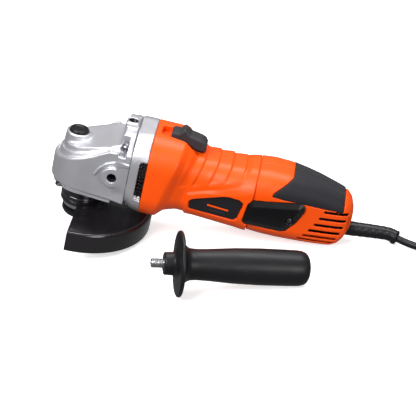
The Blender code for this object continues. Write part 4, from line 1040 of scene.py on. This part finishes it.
def knob_field(x, y, z):
    side = outline_field(x, z, KNOB_PROFILE)
    waist = 7.2 - 0.7 * ramp(x, 68.0, 75.0) * ramp(-x, -86.0, -76.0)
    body = common(side, np.abs(y) - waist, 2.0)
    grooves = 0.28 * np.cos(2 * math.pi * (x - 66.0) / 2.4) * ramp(x, 66, 67) * ramp(-x, -72, -71)
    body = body + np.maximum(grooves, 0.0) * ramp(z, 37.5, 38.5)
    return union(body, box_field(x, y, z, (85.6, -2.6, 22.0), (91.6, 2.6, 30.0)), 0.5)


def shade_web_field(x, y, z):
    """Painted shade: a dark upright sheet in the tail, behind the vents, so that the vents show dark
    inside.
    """
    return common(common(tail_shape(x, y, z) + 3.0, np.abs(y) - 1.2, 0.3), 191.0 - x, 0.3)


def make_body():
    # painted shade: a dark sheet inside the tail that makes the vents look dark
    moulded("tail_shade_web", shade_web_field, (190.5, -1.6, -29), (223, 1.6, 23), "black_plastic", step=0.6)
    moulded("motor_housing_shell", housing_field, (51.5, -36, -37), (145.2, 36, 37),
            "orange_plastic", ("motor_housing",), VOXEL * 1.1)
    moulded("switch_thumb_piece", knob_field, (64, -7.5, 21.8), (95, 7.5, 43.4), "knob_plastic",
            ("switch_knob",), 0.4, "slide_switch")
    for side, hand in (("left", -1), ("right", 1)):
        low, high = sorted((0.0, hand * 28.5))
        moulded(f"tail_shell_{side}", tail_field(hand), (141.5, low, -31.5), (226, high, 29.5),
                "orange_plastic", (f"tail_cover_{side}",), VOXEL * 1.05)
        moulded(f"soft_grip_pad_{side}", grip_field(hand), (155.5, low, 3), (217, high, 29.5),
                "soft_rubber", (f"soft_grip_{side}",))
        low, high = sorted((hand * 21.0, hand * 30.5))
        moulded(f"brush_cap_{side}", brush_cover_field(hand), (136.5, low, -19), (186, high, 11.4),
                "black_plastic", (f"brush_cover_{side}",), 0.45)
        face = hand * (lean(COVER_SCREW[0]) + 0.1)
        pan_screw(f"brush_cover_screw_{side}",
                  spot(COVER_SCREW[0], face, COVER_SCREW[1], -90 * hand, "X"), 2.1, 1.5, 8.3, 1.0)
        make_label(side, hand)


def plate_piece(name, outline, hand, back, front, edge=0.3, radius=1.2):
    """A thin plate with a chamfered face, standing on the side of the tool."""
    line = []
    for corner in zip(outline[-1:] + outline, outline, outline[1:] + outline[:1]):
        line += round_corner(*corner, radius, 0.4, 5)
    middle = sum(line, Vector((0, 0))) / len(line)
    small = [p + (middle - p).normalized() * edge for p in line]
    rows = [(line, back), (line, front - edge), (small, front)]
    points = [(p.x, hand * y, p.y) for row, y in rows for p in row]
    n = len(line)
    faces = [list(range(n)), list(range(2 * n, 3 * n))[::-1]]
    for k in range(2):
        for i in range(n):
            j = (i + 1) % n
            faces.append([k * n + j, k * n + i, (k + 1) * n + i, (k + 1) * n + j])
    if hand < 0:
        faces = [face[::-1] for face in faces]
    return mesh_piece(name, points, faces, sharp=25)


def make_label(side, hand):
    plate = plate_piece(f"side_plate_{side}", LABEL_OUTLINE, hand, 25.6, 26.9)
    settle(plate, "label_film", "tool", (f"label_plate_{side}",))
    bars = (("a", 106.0, 124.0, -9.2, 1.5, "orange_plastic"),
            ("b", 108.0, 121.0, -12.6, 0.7, "knob_plastic"))
    for mark, start, end, height, thick, look in bars:
        slope = 0.06 * (end - start)
        outline = [(start, height), (end, height - slope), (end, height - slope + thick),
                   (start, height + thick)]
        bar = plate_piece(f"plate_stripe_{mark}_{side}", outline, hand, 26.8, 27.0, 0.05, 0.4)
        settle(bar, look, "tool")


# ---------------------------------------------------------------- side handle

HANDLE_PLACE = (87.1, -95.0)
HANDLE_YAW = math.radians(13.9)
HANDLE_FLANGE = 26.5           # radius of the handle's flange
HANDLE_TILT = math.atan((HANDLE_FLANGE - 14.3) / 96.0)


def handle_frame():
    height = HANDLE_FLANGE * math.cos(HANDLE_TILT) + 0.3
    foot = Vector((MIDDLE.x + HANDLE_PLACE[0] * MM, MIDDLE.y + HANDLE_PLACE[1] * MM, height * MM))
    return (Matrix.Translation(foot) @ Matrix.Rotation(HANDLE_YAW, 4, "Z")
            @ Matrix.Rotation(math.radians(90) + HANDLE_TILT, 4, "Y") @ Matrix.Scale(MM, 4))


def make_side_handle():
    place = handle_frame()
    profile = [(0, 106.0), (8.0, 105.6), (12.6, 103.0), (14.3, 98.0), (14.6, 88.0), (14.8, 66.0),
               (14.2, 44.0), (12.8, 24.0), (12.4, 14.0), (12.9, 8.0), (15.0, 5.0), (20.0, 3.0),
               (25.6, 2.2), (26.5, 1.4), (26.5, -0.4), (25.0, -1.2), (12.0, -2.4), (10.6, -3.2),
               (9.4, -4.4), (9.1, -11.0), (8.6, -12.0), (4.3, -12.0), (4.3, 20.3), (0, 20.3)]

    def seam(angle, radius, height):
        if height > 104 or radius < 5:
            return 0.0
        off = min(abs(math.sin(angle)) * radius, 1.0)
        return 0.14 * max(0.0, 1 - off / 0.5)

    turned("handle_grip", rounded(profile, 2.2, 5), "handle_plastic", "side_handle",
           ("side_handle_grip",), place, 160, seam, 50)
    rows = [(0, 20.0), (4.0, 20.0)] + [(4.0, -0.2 * k) for k in range(0, 108)]
    rows += [(3.6, -21.9), (3.0, -22.2), (0, -22.2)]
    turned("handle_stud", rows, "steel", "side_handle", ("side_handle_stud",), place, 56,
           thread(1.25, 0.62, -22.0, -10.0))


# ---------------------------------------------------------------- cord

GROUND = 0.0033
CORD_ROUTE = [(0.1641, 0.0249, 0.0070), (0.1705, 0.0228, 0.0052), (0.1795, 0.0197, 0.0038),
              (0.1885, 0.0167, GROUND), (0.1975, 0.0142, GROUND), (0.2065, 0.0129, GROUND),
              (0.2140, 0.0125, GROUND), (0.2222, 0.0125, GROUND), (0.2306, 0.0125, GROUND)]
COIL_CENTRE = (0.2390, -0.0287)
CORD_RADIUS = 0.0031
COIL_PITCH = 0.0062
COIL_RADIUS = 0.0412
PLUG_ENTRY = Vector((COIL_CENTRE[0] + 0.0270, COIL_CENTRE[1] + 0.0160, 0.0303))
COIL_END = 2939                # angle in degrees at which the lead reaches the plug
COIL_STEP = 7.5
RISE_STEPS = 21
TIE_ANGLE = math.radians(-125)
# (angle travelled from the entry in degrees, ring number, layer), eased between the rows
WINDING = [(0, 0, 0), (180, 0, 0), (360, 1, 0), (540, 1, 0), (720, 2, 0), (880, 2, 0),
           (970, 2, 1), (1140, 2, 1), (1320, 1, 1), (1500, 1, 1), (1680, 0, 1), (1860, 0, 1),
           (1950, 0, 2), (2100, 0, 2), (2280, 1, 2), (2460, 1, 2), (2640, 2, 2), (2775, 2, 2)]


def eased(rows, x, column):
    """Value at x, smooth between the rows of a table."""
    for before, after in zip(rows, rows[1:]):
        if x <= after[0]:
            t = (x - before[0]) / (after[0] - before[0])
            t = t * t * (3 - 2 * t)
            return before[column] + (after[column] - before[column]) * t
    return rows[-1][column]


def coil_point(angle, ring, layer):
    r = COIL_RADIUS - COIL_PITCH * ring
    a = math.radians(90 - angle)
    return Vector((COIL_CENTRE[0] + r * math.cos(a), COIL_CENTRE[1] + r * math.sin(a),
                   GROUND + COIL_PITCH * layer))


def cord_path():
    start = Vector(CORD_ROUTE[0])
    ahead = (Vector(CORD_ROUTE[1]) - start).normalized()
    points = smooth_path([start - ahead * 0.004, *CORD_ROUTE], 14)
    last = WINDING[-1][0]
    for k in range(int(last / COIL_STEP) + 1):
        angle = k * COIL_STEP
        points.append(coil_point(angle, eased(WINDING, angle, 1), eased(WINDING, angle, 2)))
    # up from the last turn into the plug, which lies on the coil
    for k in range(1, RISE_STEPS + 1):
        t = k / RISE_STEPS
        point = coil_point(last + (COIL_END - last) * t, 2 - 0.42 * t * t, 2)
        point.z += (PLUG_ENTRY.z - point.z) * t * t * (3 - 2 * t)
        points.append(point)
    points.append(PLUG_ENTRY + Vector((0.0021, -0.0034, 0.0)))
    return smooth_path(points, len(points) * 3)


def make_cord():
    path = cord_path()
    cord = sweep("power_lead", path, [CORD_RADIUS] * len(path), 20)
    plug = make_plug()
    settle(cord, "cord_rubber", "tool", ("power_cord", "cord_coil"))
    length = round(sum((b - a).length for a, b in zip(path, path[1:])), 2)
    tuple(path[0])
    [tuple(p) for p in path]
    make_tie()
    make_boot()


def make_boot():
    start = TOOL @ Vector((214.0, 0, BOOT_Z))
    knots = [start, TOOL @ Vector((221.0, 0, BOOT_Z)), TOOL @ Vector((228.0, 0, BOOT_Z))]
    tip = Vector(CORD_ROUTE[0])
    ahead = (Vector(CORD_ROUTE[1]) - tip).normalized()
    path = smooth_path([*knots, tip - ahead * 0.010, tip], 90)
    radii = []
    total = len(path) - 1
    for k in range(total + 1):
        t = k / total
        r = 6.4 - 0.8 * t
        if 0.30 < t < 0.86:
            r -= 0.22 * max(0.0, math.sin(2 * math.pi * t * 9))
        if t > 0.93:
            r += 0.75 * math.sin(math.pi * min(1.0, (t - 0.93) / 0.06))
        radii.append(r * MM)
    radii[-1] = 0.0047
    boot = sweep("cord_boot_sleeve", path, radii, 36)
    settle(boot, "cord_rubber", "tool", ("cord_boot",))


def make_tie():
    """A strap round all the turns of the coil, with a small buckle on top."""
    place = (Matrix.Translation((*COIL_CENTRE, 0))
             @ Matrix.Rotation(TIE_ANGLE, 4, "Z") @ Matrix.Scale(MM, 4))

    def field(x, y, z):
        outer = box_field(x, 0 * y, z, (24.9, -1, 0.02), (45.1, 1, 19.8), 3.4)
        inner = box_field(x, 0 * y, z, (25.8, -9, 0.30), (44.2, 9, 19.0), 3.0)
        band = common(without(outer, inner), np.abs(y) - 3.2, 0.3)
        return union(band, box_field(x, y, z, (31.0, -4.2, 19.3), (38.5, 4.2, 21.4), 0.8), 0.3)

    tie = surface_net("coil_tie", field, (24.5, -4.6, 0.0), (45.5, 4.6, 21.8), 0.35)
    tie.matrix_world = place
    return settle(tie, "tie_black", "tool")


PLUG_SECTIONS = [(0.0, 4.6, 4.6, 4.5), (16.0, 5.6, 5.6, 5.5), (22.0, 10.0, 8.6, 6.0),
                 (34.0, 16.0, 11.0, 7.0), (56.0, 17.5, 11.0, 9.0)]


def make_plug():
    """Two pin plug; X in its own frame runs from the cord to the pins."""
    rows = [(x, w, h, -h, min(r, h - 0.1)) for x, w, h, r in PLUG_SECTIONS]
    form = Sections(rows, 4.0)

    def field(x, y, z):
        body = form.field(x, y, z)
        neck = 0.5 * np.maximum(0.0, np.sin(2 * math.pi * x / 3.2)) * ramp(-x, -15.5, -14.0)
        grip = 0.6 * np.maximum(0.0, np.sin(2 * math.pi * x / 4.0))
        grip = grip * ramp(x, 28, 30) * ramp(-x, -46, -44) * ramp(np.abs(y), 11, 13)
        body = body + neck + grip
        body = common(body, np.abs(x - 28.0) - 28.0, 1.4)
        body = without(body, rod_field(y, z, x, 3.0, -2.0, 6.0), 0.3)
        for hand in (-1, 1):
            body = union(body, rod_field(y - hand * 9.5, z, x, 2.4, 50.0, 75.0, 2.0), 0.2)
        return body

    place = (Matrix.Translation(PLUG_ENTRY) @ Matrix.Rotation(math.radians(-90), 4, "Z")
             @ Matrix.Scale(MM, 4))
    plug = surface_net("plug_body", field, (0, -18, -11.5), (75.2, 18, 11.5), 0.5)
    plug.matrix_world = place
    return settle(plug, "black_plastic", "tool", ("mains_plug",))


def finish_cad_nodes():
    """Give each CAD node that still shows the better material of its own finish."""
    for item in frame["nodes"].values():
        for place in item.material_slots:
            look = place.material.name.split(".")[0] if place.material else "steel"
            place.material = finish(look if look in MATERIALS else "steel")


make_camera()
make_stage()
make_cord()
make_head()
make_guard()
make_disc_fixings()
make_body()
make_side_handle()
finish_cad_nodes()
boxes = [[[float(v) for v in corner] for corner in box] for box in (CAD_BOX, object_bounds())]
